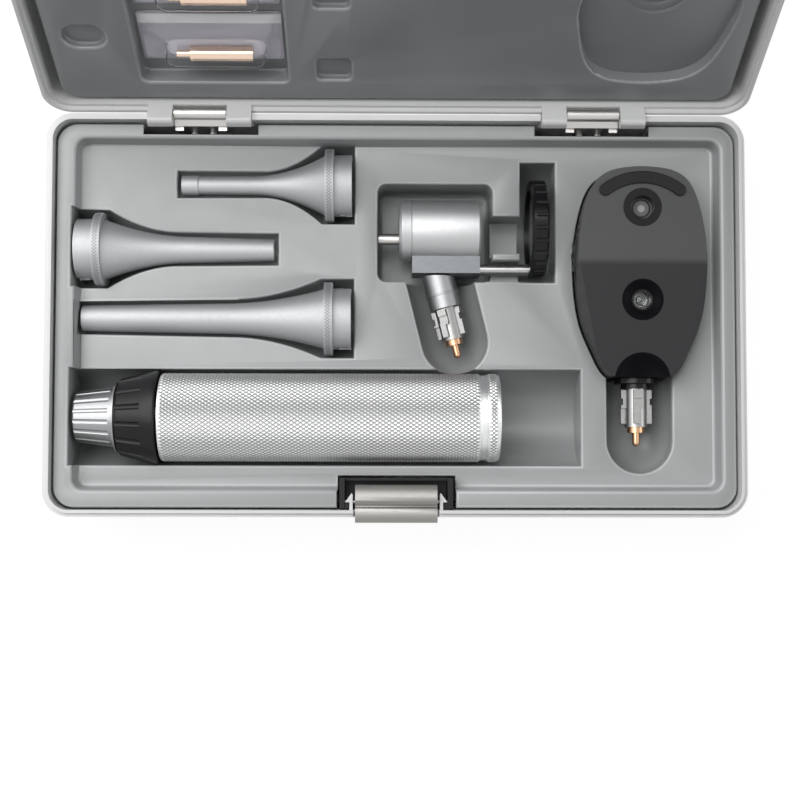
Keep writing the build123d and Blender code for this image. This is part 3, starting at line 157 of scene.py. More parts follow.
# How a grain is stretched round a turned part and along a drawn bar.
TURNED = (22.0, 1.0, 1.0)
LENGTHWAYS = (1.0, 14.0, 14.0)


def put(tree, value, socket):
    """Links an output to a socket, or gives the socket a value of its own."""
    if isinstance(value, bpy.types.NodeSocket):
        tree.links.new(value, socket)
    else:
        socket.default_value = value


def calc(tree, operation, *values):
    """The result of a maths node on numbers and outputs."""
    made = tree.nodes.new("ShaderNodeMath")
    made.operation = operation
    for value, socket in zip(values, made.inputs):
        put(tree, value, socket)
    return made.outputs["Value"]


def vector_calc(tree, operation, first, second):
    """A vector maths node on two vectors."""
    made = tree.nodes.new("ShaderNodeVectorMath")
    made.operation = operation
    put(tree, first, made.inputs[0])
    put(tree, second, made.inputs[1])
    return made


def blend(tree, factor, first, second, kind="MIX"):
    """A mix of two colours."""
    made = tree.nodes.new("ShaderNodeMix")
    made.data_type = "RGBA"
    made.blend_type = kind
    put(tree, factor, made.inputs["Factor"])
    put(tree, first, made.inputs[MIX_A])
    put(tree, second, made.inputs[MIX_B])
    return made.outputs[MIX_OUT]


def ranged(tree, source, start, end, low, high, kind="LINEAR"):
    """Maps a factor between start and end onto low to high."""
    made = tree.nodes.new("ShaderNodeMapRange")
    made.interpolation_type = kind
    names = ("From Min", "From Max", "To Min", "To Max")
    for name, value in zip(names, (start, end, low, high)):
        made.inputs[name].default_value = value
    tree.links.new(source, made.inputs["Value"])
    return made.outputs["Result"]


def along_axis(tree, where, axis):
    """One of the object's own coordinates."""
    split = tree.nodes.new("ShaderNodeSeparateXYZ")
    tree.links.new(where.outputs["Object"], split.inputs["Vector"])
    return split.outputs[axis]


def painted(tree, name):
    """The value of a named attribute of the mesh."""
    made = tree.nodes.new("ShaderNodeAttribute")
    made.attribute_name = name
    return made.outputs["Fac"]


def new_material(name):
    """An empty node material with its shader and object coordinates."""
    made = bpy.data.materials.new(name)
    made.use_nodes = True
    tree = made.node_tree
    shader = tree.nodes["Principled BSDF"]
    where = tree.nodes.new("ShaderNodeTexCoord")
    return made, tree, shader, where


def parts_of(made):
    """The tree, the shader, the coordinates and the colour of a finished material."""
    tree = made.node_tree
    shader = tree.nodes["Principled BSDF"]
    where = next(n for n in tree.nodes if n.type == "TEX_COORD")
    return tree, shader, where, shader.inputs["Base Color"].links[0].from_socket


def noise(tree, where, scale, detail=3.0, stretch=(1, 1, 1)):
    """Noise on object coordinates, stretched where a grain needs it."""
    mapping = tree.nodes.new("ShaderNodeMapping")
    mapping.inputs["Scale"].default_value = stretch
    tree.links.new(where.outputs["Object"], mapping.inputs["Vector"])
    made = tree.nodes.new("ShaderNodeTexNoise")
    made.inputs["Scale"].default_value = scale
    made.inputs["Detail"].default_value = detail
    made.inputs["Roughness"].default_value = 0.5
    tree.links.new(mapping.outputs["Vector"], made.inputs["Vector"])
    return made.outputs["Fac"]


def uneven_gloss(tree, shader, source, low, high):
    """Varies the roughness by a noise, whose values mostly lie from 0.3 to 0.7."""
    gloss = ranged(tree, source, 0.3, 0.7, low, high)
    tree.links.new(gloss, shader.inputs["Roughness"])


def tint(tree, shader, source, base, vary):
    """Varies the base colour a little by a factor."""
    dark = [c * (1 - vary) for c in base]
    light = [min(c * (1 + vary), 1.0) for c in base]
    mixed = blend(tree, source, (*dark, 1), (*light, 1))
    tree.links.new(mixed, shader.inputs["Base Color"])


def relief(tree, shader, source, strength, distance):
    """A bump from a factor."""
    bump = tree.nodes.new("ShaderNodeBump")
    bump.inputs["Strength"].default_value = strength
    bump.inputs["Distance"].default_value = distance
    tree.links.new(source, bump.inputs["Height"])
    tree.links.new(bump.outputs["Normal"], shader.inputs["Normal"])


def plastic(name, base, rough, grain=900.0, strength=0.12, coat=0.0, vary=0.03, level=0.5):
    """Moulded plastic with a fine skin and slightly uneven gloss."""
    made, tree, shader, where = new_material(name)
    cloud = noise(tree, where, scale=38.0, detail=2.0)
    skin = noise(tree, where, scale=grain, detail=2.0)
    tint(tree, shader, cloud, base, vary)
    patches = noise(tree, where, scale=160.0)
    uneven_gloss(tree, shader, patches, rough * 0.9, rough * 1.12)
    shader.inputs["Specular IOR Level"].default_value = level
    shader.inputs["Coat Weight"].default_value = coat
    shader.inputs["Coat Roughness"].default_value = 0.25
    relief(tree, shader, skin, strength, distance=0.00006)
    return made


def metal(
    name, base, rough, stretch=(1, 1, 1), grain=700.0, strength=0.1, vary=0.03, sway=0.2
):
    """Metal with a turned or brushed grain."""
    made, tree, shader, where = new_material(name)
    shader.inputs["Metallic"].default_value = 1.0
    lines = noise(tree, where, scale=grain, detail=2.0, stretch=stretch)
    cloud = noise(tree, where, scale=45.0)
    tint(tree, shader, cloud, base, vary)
    uneven_gloss(tree, shader, lines, rough * (1 - sway), rough * (1 + sway))
    relief(tree, shader, lines, strength, distance=0.00003)
    return made


# The higher the power, the narrower the painted shade between the diamonds.
VALLEY_SHADE_POWER = 2.5


def knurled(name, base, rough, dark):
    """Satin metal with painted shade between the diamonds of a knurl."""
    made = metal(name, base, rough, grain=900.0, strength=0.012, vary=0.015, sway=0.04)
    tree, shader, where, even = parts_of(made)
    # Painted shade: the valleys between the diamonds are multiplied by the dark value.
    narrow = calc(tree, "POWER", painted(tree, "valley"), VALLEY_SHADE_POWER)
    shaded = blend(tree, narrow, even, (dark, dark, dark, 1), "MULTIPLY")
    tree.links.new(shaded, shader.inputs["Base Color"])
    return made


def clear(name, base, rough, ior):
    """Clear plastic or glass with faint unevenness."""
    made, tree, shader, where = new_material(name)
    shader.inputs["Base Color"].default_value = (*base, 1)
    shader.inputs["Transmission Weight"].default_value = 1.0
    shader.inputs["IOR"].default_value = ior
    wave = noise(tree, where, scale=120.0, detail=1.0)
    uneven_gloss(tree, shader, wave, rough, rough * 2.0)
    relief(tree, shader, wave, strength=0.05, distance=0.00005)
    return made


# Painted highlight: how much paler a formed sheet is painted on its rounded lips, where they
# would catch the light.
LIP_HIGHLIGHT = 0.30


def drawn_sheet(name, base, high=0.0, low=-1.0, deep_shade=1.0):
    """Formed sheet with a painted highlight on its lips and painted shade that darkens it from
    high down to low.
    """
    made = plastic(
        name, base, rough=0.33, grain=420.0, strength=0.08, vary=0.02, level=0.62
    )
    tree, shader, where, even = parts_of(made)
    # Painted shade, darker the lower the sheet lies, and a painted highlight on the marked
    # lips.
    painted_shade_factor = ranged(tree, along_axis(tree, where, "Z"), low, high, deep_shade, 1.0)
    lift = calc(tree, "MULTIPLY_ADD", painted(tree, "lip"), LIP_HIGHLIGHT, painted_shade_factor)
    scale = tree.nodes.new("ShaderNodeVectorMath")
    scale.operation = "SCALE"
    tree.links.new(even, scale.inputs[0])
    tree.links.new(lift, scale.inputs["Scale"])
    tree.links.new(scale.outputs["Vector"], shader.inputs["Base Color"])
    return made


def radius_from(tree, where, centre):
    """Distance in the XY plane from an upright axis, in millimetres."""
    flat = vector_calc(tree, "MULTIPLY", where.outputs["Object"], (1000.0, 1000.0, 0.0))
    reach = vector_calc(tree, "DISTANCE", flat.outputs["Vector"], (*centre, 0.0))
    return reach.outputs["Value"]


def disc_mask(tree, where, centre, radius):
    """One inside a round spot and nought outside."""
    return calc(tree, "LESS_THAN", radius_from(tree, where, centre), radius)


# Places on the ophthalmoscope's face, in millimetres.
WINDOW_CENTRE = (82.8, 36.3)
BOWL_CENTRE, BOWL_R = (82.8, 5.1), 7.0
SCOOP_CENTRE, SCOOP_R = (82.8, -22.0), 9.4
# The face is painted darker between these two places along Y, in metres, as painted shade where
# it catches less sheen.
FACE_DARK, FACE_PALE = 0.0165, 0.0195
PAINTED_FACE_SHADE = (0.025, 0.025, 0.027, 1)
BLACK_HOLLOW = (0.004, 0.004, 0.005, 1)
HOLLOW_DULLING = -0.85


def head_moulding(name, base):
    """Matt moulded plastic with painted shade that darkens it towards the plug end."""
    made = plastic(name, base, rough=0.46, grain=1500.0, strength=0.22, vary=0.06)
    tree, shader, where, even = parts_of(made)
    place = along_axis(tree, where, "Y")
    # Painted shade towards the plug end, where the face catches less sheen.
    painted_shade_factor = ranged(tree, place, FACE_DARK, FACE_PALE, 0.0, 1.0, "SMOOTHSTEP")
    face_with_painted_shade = blend(tree, painted_shade_factor, PAINTED_FACE_SHADE, even)
    bowl = disc_mask(tree, where, BOWL_CENTRE, BOWL_R)
    scoop = disc_mask(tree, where, SCOOP_CENTRE, SCOOP_R)
    hollow = calc(tree, "MAXIMUM", bowl, scoop)
    black = blend(tree, hollow, face_with_painted_shade, BLACK_HOLLOW)
    tree.links.new(black, shader.inputs["Base Color"])
    level = ranged(tree, painted_shade_factor, 0.0, 1.0, low=0.24, high=0.46)
    dull = calc(tree, "MULTIPLY_ADD", hollow, HOLLOW_DULLING, 1.0)
    shine = calc(tree, "MULTIPLY", level, dull)
    tree.links.new(shine, shader.inputs["Specular IOR Level"])
    return made


# Rings behind the viewing window: where each starts, in millimetres, and how pale it is.
WINDOW_RINGS = ((0.0, 0.42), (1.2, 0.16), (2.6, 0.012), (3.2, 0.10), (3.7, 0.006))
WINDOW_REACH = 5.0


def window_glass(name):
    """Coated glass with the rings of the lens seat behind it."""
    made, tree, shader, where = new_material(name)
    ramp = tree.nodes.new("ShaderNodeValToRGB")
    ramp.color_ramp.interpolation = "CONSTANT"
    bands = ramp.color_ramp.elements
    while len(bands) < len(WINDOW_RINGS):
        bands.new(0.5)
    for band, (edge, value) in zip(bands, WINDOW_RINGS):
        band.position = edge / WINDOW_REACH
        band.color = (value, value, value * 1.03, 1)
    reach = radius_from(tree, where, WINDOW_CENTRE)
    tree.links.new(calc(tree, "DIVIDE", reach, WINDOW_REACH), ramp.inputs["Fac"])
    tree.links.new(ramp.outputs["Color"], shader.inputs["Base Color"])
    wave = noise(tree, where, scale=300.0, detail=1.0)
    uneven_gloss(tree, shader, wave, low=0.08, high=0.14)
    shader.inputs["Specular IOR Level"].default_value = 0.3
    return made


# The bulb cards in the lid, measured away from the hinge, in metres.
CARD_FOOT = 0.0178
CARD_PITCH = 0.0254
STRIP_MIDDLE = 0.0188
STRIP_HALF = 0.0021
STRIP_WHITE = (0.78, 0.78, 0.79, 1)


def card_stock(name):
    """Lilac-grey card with a plain white strip along its upper edge."""
    made, tree, shader, where = new_material(name)
    fibre = noise(tree, where, scale=1400.0)
    upward = LID_PLACE.col[1].to_3d()
    foot = LID_PLACE.to_translation().dot(upward) + CARD_FOOT
    along = vector_calc(tree, "DOT_PRODUCT", where.outputs["Object"], upward)
    height = calc(tree, "SUBTRACT", along.outputs["Value"], foot)
    on_card = calc(tree, "MODULO", height, CARD_PITCH)
    strip = calc(tree, "COMPARE", on_card, STRIP_MIDDLE, STRIP_HALF)
    mixed = blend(tree, strip, (*colours().card, 1), STRIP_WHITE)
    tree.links.new(mixed, shader.inputs["Base Color"])
    shader.inputs["Roughness"].default_value = 0.55
    relief(tree, shader, fibre, strength=0.15, distance=0.00004)
    return made


# What each finish is made of. A base is a colour of the sidebar or a colour of its own.
PLASTICS = {
    "case_shell": dict(
        base="shell", rough=0.34, grain=520.0, strength=0.10, coat=0.25, vary=0.02
    ),
    "black_gloss": dict(
        base=(0.006, 0.006, 0.007), rough=0.20, grain=500.0, strength=0.08, vary=0.1, level=0.25
    ),
    "black_moulding": dict(
        base="black", rough=0.34, grain=700.0, strength=0.2, vary=0.1, level=0.22
    ),
    "wheel_moulding": dict(
        base="black", rough=0.42, grain=900.0, strength=0.2, vary=0.08, level=0.25
    ),
    "brow_rubber": dict(
        base=(0.012, 0.012, 0.013), rough=0.5, grain=1100.0, strength=0.3, vary=0.1, level=0.2
    ),
}
METALS = {
    # A darker copy of the satin alloy: painted shade for the dim surroundings that the block's
    # flat face reflects.
    "block_alloy": dict(
        base=(0.17, 0.178, 0.185),
        rough=0.44,
        stretch=(1.0, 9.0, 9.0),
        grain=400.0,
        strength=0.14,
    ),
    "satin_alloy": dict(
        base="alloy", rough=0.52, stretch=TURNED, grain=420.0, strength=0.10, vary=0.015
    ),
    "socket_alloy": dict(
        base=(0.32, 0.325, 0.33), rough=0.42, stretch=TURNED, grain=420.0, vary=0.015
    ),
    "bright_steel": dict(
        base=(0.42, 0.415, 0.41), rough=0.27, stretch=LENGTHWAYS, grain=300.0, strength=0.05
    ),
    # A darker copy of the bright steel: painted dark reflections on the chrome hinge pins.
    "pin_steel": dict(
        base=(0.11, 0.107, 0.104), rough=0.30, stretch=LENGTHWAYS, grain=300.0, strength=0.05
    ),
    "plug_steel": dict(
        base=(0.33, 0.328, 0.325), rough=0.36, stretch=LENGTHWAYS, grain=300.0, strength=0.04
    ),
    "plain_steel": dict(
        base="steel", rough=0.36, stretch=LENGTHWAYS, grain=500.0, strength=0.15
    ),
    "latch_steel": dict(
        base=(0.27, 0.262, 0.25), rough=0.45, stretch=(1, 18, 18), grain=400.0, strength=0.12
    ),
    "gold_contact": dict(
        base="gold", rough=0.24, stretch=TURNED, grain=500.0, strength=0.08, vary=0.06
    ),
    "bulb_sleeve": dict(
        base=(0.86, 0.66, 0.52), rough=0.20, stretch=TURNED, grain=500.0, strength=0.06
    ),
}
# dark is the painted shade in the valleys between the diamonds.
KNURLED = {
    "knurled_alloy": dict(base=(0.72, 0.725, 0.73), rough=0.42, dark=0.22),
    "plated_funnel": dict(base="plating", rough=0.62, dark=0.5),
}
CLEAR = {
    "clear_blister": dict(base=(0.985, 0.985, 0.99), rough=0.03, ior=1.15),
    "lens_clear": dict(base=(0.92, 0.95, 0.95), rough=0.02, ior=1.5),
}
SHEETS = {
    # From high down to low the tray is painted darker, as painted shade in its hollows.
    "formed_sheet": dict(base="formed", high=0.0255, low=0.0125, deep_shade=0.84),
    # The insert's darker colour is painted shade, and its lips get the painted highlight.
    "insert_sheet": dict(base="insert"),
}
MOULDED_HEAD = {"head_moulding": dict(base="head")}
PLAIN = {"card_print": card_stock, "window_glass": window_glass}
MAKERS = (
    (plastic, PLASTICS),
    (metal, METALS),
    (knurled, KNURLED),
    (clear, CLEAR),
    (drawn_sheet, SHEETS),
    (head_moulding, MOULDED_HEAD),
)
FINISHES = {}


def new_finish(name):
    """Makes the finish that the tables above describe."""
    if name in PLAIN:
        return PLAIN[name](name)
    for maker, table in MAKERS:
        if name in table:
            facts = dict(table[name])
            base = facts.pop("base")
            if isinstance(base, str):
                base = tuple(getattr(colours(), base))
            return maker(name, base, **facts)
    raise ValueError("no finish is called " + name)


def finish(name):
    """Each finish is made once, when it is first asked for."""
    if name not in FINISHES:
        FINISHES[name] = new_finish(name)
    return FINISHES[name]


# ---- building helpers ----------------------------------------------------------------


# Corners of a CAD mesh that lie closer than this are one.
SAME_CORNER = 0.0000015
BEVELLED_FROM = math.radians(30)
LIP_FROM = math.radians(28)
LIP_SEGMENTS = 3
LATHE_STEPS = 96


def merged(node):
    """A working copy of a CAD node with its corners joined."""
    bm = bmesh.new()
    bm.from_mesh(NODES[node].data)
    bmesh.ops.remove_doubles(bm, verts=bm.verts, dist=SAME_CORNER)
    bmesh.ops.dissolve_degenerate(bm, edges=bm.edges, dist=SAME_CORNER)
    return bm


def flattened(bm, degrees):
    """Joins faces that lie in one plane to within an angle."""
    limit = math.radians(degrees)
    bmesh.ops.dissolve_limit(bm, angle_limit=limit, verts=bm.verts, edges=bm.edges)


def place_piece(bm, name, look, body, stands_for=(), smooth=32.0):
    """Turns a bmesh into a finished object that rides on its body."""
    mesh = bpy.data.meshes.new(name)
    bm.to_mesh(mesh)
    bm.free()
    stale = mesh.attributes.get("custom_normal")
    if stale:
        mesh.attributes.remove(stale)
    mesh.materials.append(look)
    for face in mesh.polygons:
        face.use_smooth = True
    mesh.set_sharp_from_angle(angle=math.radians(smooth))
    made = bpy.data.objects.new(name, mesh)
    bpy.context.scene.collection.objects.link(made)
    if stands_for:
        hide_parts(*stands_for)
    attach(made, body)
    return made


def soften(made, width):
    """A live rounding of the hard edges."""
    rounding = made.modifiers.new("Edges", "BEVEL")
    rounding.width = width
    rounding.segments = 2
    rounding.limit_method = "ANGLE"
    rounding.angle_limit = BEVELLED_FROM
    rounding.use_clamp_overlap = True


def dress(node, look, edge=0.0, smooth=32.0):
    """Shows a CAD node in a finish, with rounded edges where a width in mm is given."""
    bm = merged(node)
    if edge:
        flattened(bm, degrees=1.0)
    body = NODES[node]["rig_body"]
    name = node + "_skin"
    made = place_piece(bm, name, finish(look), body, (node,), smooth)
    if edge:
        soften(made, edge * MM)


def rounded_level(bm, level, width, start=-1.0, narrow=None):
    """Rounds the sharp edges of one level, right of a start and outside narrow strips.

    The strips lie between two distances from X = 0, on both sides, and beyond one Y.
    """
    near = 0.00006
    chosen = []
    for edge in bm.edges:
        if len(edge.link_faces) != 2:
            continue
        if any(abs(v.co.z - level) >= near or v.co.x < start for v in edge.verts):
            continue
        middle = (edge.verts[0].co + edge.verts[1].co) / 2
        if narrow and narrow[0] < abs(middle.x) < narrow[1] and middle.y > narrow[2]:
            continue
        if edge.calc_face_angle(0.0) > LIP_FROM:
            chosen.append(edge)
    lip = bm.faces.layers.float.get("lip") or bm.faces.layers.float.new("lip")
    made = bmesh.ops.bevel(
        bm,
        geom=chosen,
        offset=width,
        offset_type="OFFSET",
        segments=LIP_SEGMENTS,
        profile=0.5,
        affect="EDGES",
        clamp_overlap=False,
        material=-1,
    )
    # Marks the rounded faces, where the sheet's material paints a highlight.
    for face in made["faces"]:
        face[lip] = 1.0


def lathe(bm, points, place):
    """Spins a profile of (x, r) in millimetres about the X axis of a place."""
    before = set(bm.verts)
    verts = [bm.verts.new((x * MM, 0.0, r * MM)) for x, r in points]
    edges = [bm.edges.new(pair) for pair in zip(verts, verts[1:])]
    bmesh.ops.spin(
        bm,
        geom=verts + edges,
        cent=(0, 0, 0),
        axis=(1, 0, 0),
        dvec=(0, 0, 0),
        angle=2 * math.pi,
        steps=LATHE_STEPS,
        use_merge=True,
        use_duplicate=False,
    )
    spun = [v for v in bm.verts if v not in before]
    bmesh.ops.transform(bm, matrix=place, verts=spun)
    faces = [f for f in bm.faces if all(v not in before for v in f.verts)]
    bmesh.ops.recalc_face_normals(bm, faces=faces)


def join(bm, other):
    """Adds another bmesh's shape to the first."""
    mesh = bpy.data.meshes.new("joined")
    other.to_mesh(mesh)
    other.free()
    bm.from_mesh(mesh)
    bpy.data.meshes.remove(mesh)


def knurl_band(x0, x1, radius, pitch, turn, depth, place):
    """A closed band of raised diamonds round the X axis of a place."""
    bm = bmesh.new()
    valley = bm.verts.layers.float.new("valley")
    around = 2 * round(2 * math.pi * radius / turn)
    along = max(2 * round((x1 - x0) / pitch), 4)
    bmesh.ops.create_grid(bm, x_segments=along, y_segments=around, size=1.0)
    low = []
    for v in bm.verts:
        i = round((v.co.x + 1) / 2 * along)
        j = round((v.co.y + 1) / 2 * around)
        edge = i in (0, along)
        lift = 0.0 if edge or (i + j) % 2 else depth
        if not lift:
            low.append(v)
            v[valley] = 0.0 if edge else 1.0
        reach = radius + lift
        angle = 2 * math.pi * j / around
        x = x0 + (x1 - x0) * i / along
        v.co = (x, reach * math.cos(angle), reach * math.sin(angle))
    bmesh.ops.connect_verts(bm, verts=low)
    bmesh.ops.remove_doubles(bm, verts=bm.verts, dist=0.000002)
    bmesh.ops.transform(bm, matrix=place, verts=bm.verts)
    bmesh.ops.recalc_face_normals(bm, faces=bm.faces)
    return bm


def spot(x, y, z):
    """A place given in millimetres."""
    return Matrix.Translation((x * MM, y * MM, z * MM))


# ---- pieces --------------------------------------------------------------------------

# Levels of the formed sheets' flat faces.
BORDER_LEVEL = 0.0328
FLOOR_LEVEL = 0.0265
INSERT_LEVEL = -0.0031
# The strip of border between a hinge and the well is too narrow to be rounded.
BEHIND_HINGES = (0.0468, 0.0860, 0.0612)
# The lid's dip for the handle runs out thin to the left of this place.
DIP_START = -0.1108
# The well and the insert are rounded less than the border by this share.
LESS_ROUND = 0.8

# The handle, in millimetres. A profile is a row of places along X with their radius.
HANDLE_AXIS = (0, -34.4, 24.5)
HANDLE_R = 15.2
TUBE_KNURL = (-79.4, 28.4)
TUBE_START = ((-79.8, 9.3), (-79.8, 14.6), (-79.65, 14.8), (-79.4, 14.86))
TUBE_GROOVE = ((28.4, 14.86), (28.7, 14.6), (30.6, 14.6), (30.6, 13.9))
CAP_KNURL = (31.2, 34.2)
CAP_FRONT = ((30.65, 13.9), (30.65, 14.8), (30.9, 14.86), (31.2, 14.86))
CAP_BACK = ((34.2, 14.86), (34.8, 14.8), (35.1, 14.5), (35.2, 14.0), (35.2, 0.01))
CAP_INSIDE = ((25.4, 0.01), (25.4, 13.9), (30.65, 13.9))

# Each speculum with the start of its ring and its place along Y, in millimetres.
SPECULA = (("small", -24.4, 45.6), ("medium", -102.8, 23.2), ("large", -24.6, -0.5))
SPECULA_HEIGHT = 24.3
RING_R = 12.51
RING_FROM, RING_TO = 0.15, 2.85
TIP_BEAD = ((-73.72, 3.0), (-73.6, 3.35), (-68.2, 3.4), (-67.8, 3.1), (-67.7, 2.9))

# Rows of node, finish and, where they are given, edge rounding in mm and smooth angle.
HINGES = (
    ("hinge_bracket_left", "plain_steel", 0.12),
    ("hinge_bracket_right", "plain_steel", 0.12),
    ("hinge_pins", "pin_steel", 0.1),
    ("hinge_screws", "bright_steel", 0.1),
)
LATCH = (
    ("latch_housing", "black_moulding", 0.15),
    ("latch_pin", "bright_steel"),
    ("latch_springs", "bright_steel"),
    ("latch_plate", "latch_steel", 0.12, 50.0),
    ("lid_catch", "bright_steel", 0.08),
    ("catch_screws", "bright_steel", 0.08),
)
BULB_PACK = (
    ("bulb_card_", "card_print"),
    ("bulb_blister_", "clear_blister", 0.0, 40.0),
    ("spare_bulb_", "bulb_sleeve", 0.0, 40.0),
)
HANDLE = (
    ("brightness_collar", "black_moulding", 0.15),
    ("handle_socket_head", "socket_alloy", 0.12),
    ("handle_contact", "gold_contact"),
    ("handle_battery", "black_moulding"),
    ("battery_spring", "bright_steel"),
)
OTOSCOPE = (
    ("otoscope_barrel", "satin_alloy", 0.15),
    ("otoscope_flange", "satin_alloy", 0.15),
    ("bracket_block", "block_alloy", 0.25),
    ("light_tube", "plain_steel"),
    ("otoscope_neck", "socket_alloy", 0.1),
    ("otoscope_connector", "plug_steel", 0.1),
    ("otoscope_bulb", "gold_contact"),
    ("lens_rod", "bright_steel", 0.1),
    ("lens_rim", "black_gloss", 0.12),
    ("lens_glass", "lens_clear"),
)
OPHTHALMOSCOPE = (
    ("ophthalmoscope_front", "head_moulding", 0.15, 7.0),
    ("ophthalmoscope_rear", "head_moulding", 0.2),
    ("brow_rest", "brow_rubber", 0.3),
    ("viewing_ring", "black_gloss", 0.1),
    ("viewing_glass", "window_glass"),
    ("aperture_ring", "black_gloss", 0.1),
    ("display_lens", "lens_clear"),
    ("lens_wheel", "wheel_moulding", 0.15),
    ("wheel_lenses", "lens_clear"),
    ("wheel_axle", "bright_steel"),
    ("ophthalmoscope_neck", "black_gloss", 0.15),
    ("ophthalmoscope_connector", "plug_steel", 0.1),
    ("ophthalmoscope_bulb", "gold_contact"),
)


def dress_all(rows):
    """Dresses every node of a table."""
    for row in rows:
        dress(*row)


class CASE_OT_shells(bpy.types.Operator):
    """Adds the two moulded shells of the case"""

    bl_idname = "carry_case.shells"
    bl_label = "Case shells"

    def execute(self, context):
        edge = sizes().edge_round / MM
        for node in ("base_shell", "lid_shell"):
            dress(node, "case_shell", edge)
        return {"FINISHED"}


class CASE_OT_tray(bpy.types.Operator):
    """Adds the formed tray with its rounded lips"""

    bl_idname = "carry_case.tray"
    bl_label = "Formed tray"

    def execute(self, context):
        width = sizes().lip_round
        bm = merged("base_tray")
        flattened(bm, degrees=0.6)
        rounded_level(bm, BORDER_LEVEL, width, narrow=BEHIND_HINGES)
        rounded_level(bm, FLOOR_LEVEL, width * LESS_ROUND)
        place_piece(
            bm, "formed_tray", finish("formed_sheet"), "case_base",
            ("base_tray",), smooth=40.0,
        )
        return {"FINISHED"}


class CASE_OT_insert(bpy.types.Operator):
    """Adds the formed insert of the lid"""

    bl_idname = "carry_case.insert"
    bl_label = "Lid insert"

    def execute(self, context):
        bm = merged("lid_insert")
        bmesh.ops.transform(bm, matrix=LID_PLACE.inverted(), verts=bm.verts)
        flattened(bm, degrees=0.6)
        everything = bm.verts[:] + bm.edges[:] + bm.faces[:]
        bmesh.ops.bisect_plane(
            bm, geom=everything, dist=1e-6, plane_co=(DIP_START, 0, 0), plane_no=(1, 0, 0)
        )
        width = sizes().lip_round * LESS_ROUND
        rounded_level(bm, INSERT_LEVEL, width, DIP_START - 1e-5)
        bmesh.ops.transform(bm, matrix=LID_PLACE, verts=bm.verts)
        place_piece(
            bm, "formed_insert", finish("insert_sheet"), "lid",
            ("lid_insert",), smooth=40.0,
        )
        return {"FINISHED"}


class CASE_OT_hinges(bpy.types.Operator):
    """Adds the hinge brackets, pins and screws"""

    bl_idname = "carry_case.hinges"
    bl_label = "Hinges"

    def execute(self, context):
        dress_all(HINGES)
        return {"FINISHED"}


class CASE_OT_latch(bpy.types.Operator):
    """Adds the latch with its guide, pin and springs, and the catch on the lid"""

    bl_idname = "carry_case.latch"
    bl_label = "Latch"

    def execute(self, context):
        dress_all(LATCH)
        return {"FINISHED"}


class CASE_OT_bulb_packs(bpy.types.Operator):
    """Adds the two cards with a spare bulb under a clear dome"""

    bl_idname = "carry_case.bulb_packs"
    bl_label = "Spare bulb packs"

    def execute(self, context):
        for number in ("1", "2"):
            for start, *facts in BULB_PACK:
                dress(start + number, *facts)
        return {"FINISHED"}


class CASE_OT_handle(bpy.types.Operator):
    """Adds the battery handle with its knurled tube and cap"""

    bl_idname = "carry_case.handle"
    bl_label = "Battery handle"

    def execute(self, context):
        place = spot(*HANDLE_AXIS)
        depth = sizes().knurl_depth
        valley_r = HANDLE_R * MM - depth
        cut = (valley_r, sizes().knurl_pitch, sizes().knurl_turn, depth, place)
        skins = (
            ("knurled_tube", "handle_tube", TUBE_KNURL, (TUBE_START, TUBE_GROOVE)),
            ("knurled_cap", "handle_end_cap", CAP_KNURL, (CAP_FRONT, CAP_BACK, CAP_INSIDE)),
        )
        for name, node, (start, end), profiles in skins:
            bm = knurl_band(start * MM, end * MM, *cut)
            for profile in profiles:
                lathe(bm, profile, place)
            place_piece(
                bm, name, finish("knurled_alloy"), NODES[node]["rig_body"],
                (node,), smooth=20.0,
            )
        dress_all(HANDLE)
        return {"FINISHED"}


class CASE_OT_specula(bpy.types.Operator):
    """Adds the three ear specula with their knurled rings"""

    bl_idname = "carry_case.specula"
    bl_label = "Ear specula"

    def execute(self, context):
        pitch, depth = sizes().fine_pitch, sizes().fine_depth
        for size, start, y in SPECULA:
            node = "speculum_" + size
            bm = merged(node)
            place = spot(0, y, SPECULA_HEIGHT)
            low, high = (start + RING_FROM) * MM, (start + RING_TO) * MM
            bm.verts.layers.float.new("valley")
            join(bm, knurl_band(low, high, RING_R * MM, pitch, pitch, depth, place))
            if size == "small":
                lathe(bm, TIP_BEAD, place)
            place_piece(
                bm, node + "_skin", finish("plated_funnel"), size + "_speculum",
                (node,), smooth=32.0,
            )
        return {"FINISHED"}


class CASE_OT_otoscope(bpy.types.Operator):
    """Adds the otoscope head and its swinging lens"""

    bl_idname = "carry_case.otoscope"
    bl_label = "Otoscope head"

    def execute(self, context):
        dress_all(OTOSCOPE)
        return {"FINISHED"}


class CASE_OT_ophthalmoscope(bpy.types.Operator):
    """Adds the ophthalmoscope head with its windows, wheel and plug"""

    bl_idname = "carry_case.ophthalmoscope"
    bl_label = "Ophthalmoscope head"

    def execute(self, context):
        dress_all(OPHTHALMOSCOPE)
        return {"FINISHED"}


class CASE_OT_stage(bpy.types.Operator):
    """Adds the floor, the lamps, the camera and the white surroundings"""

    bl_idname = "carry_case.stage"
    bl_label = "Stage"

    def execute(self, context):
        scene = bpy.context.scene
        add_world(scene)
        add_floor(scene)
        for facts in LAMPS:
            add_lamp(scene, *facts)
        add_camera(scene)
        scene.view_settings.view_transform = "Standard"
        return {"FINISHED"}


# ---- stage ---------------------------------------------------------------------------

# Square lamps that look at the middle of the case: name, place, side and watts.
LAMPS = (
    ("Overhead", (-0.50, 0.40, 1.05), 1.2, 16.5),
    ("Fill", (1.0, -0.05, 0.32), 0.7, 3.0),
)
AMBIENT = 0.11
WHITE = (1, 1, 1, 1)
FLOOR_HALF = 1.6
FLOOR_DROP = 0.0002
FLOOR_GLOW = 1.09
FLOOR_GLOW_SHARE = 0.85
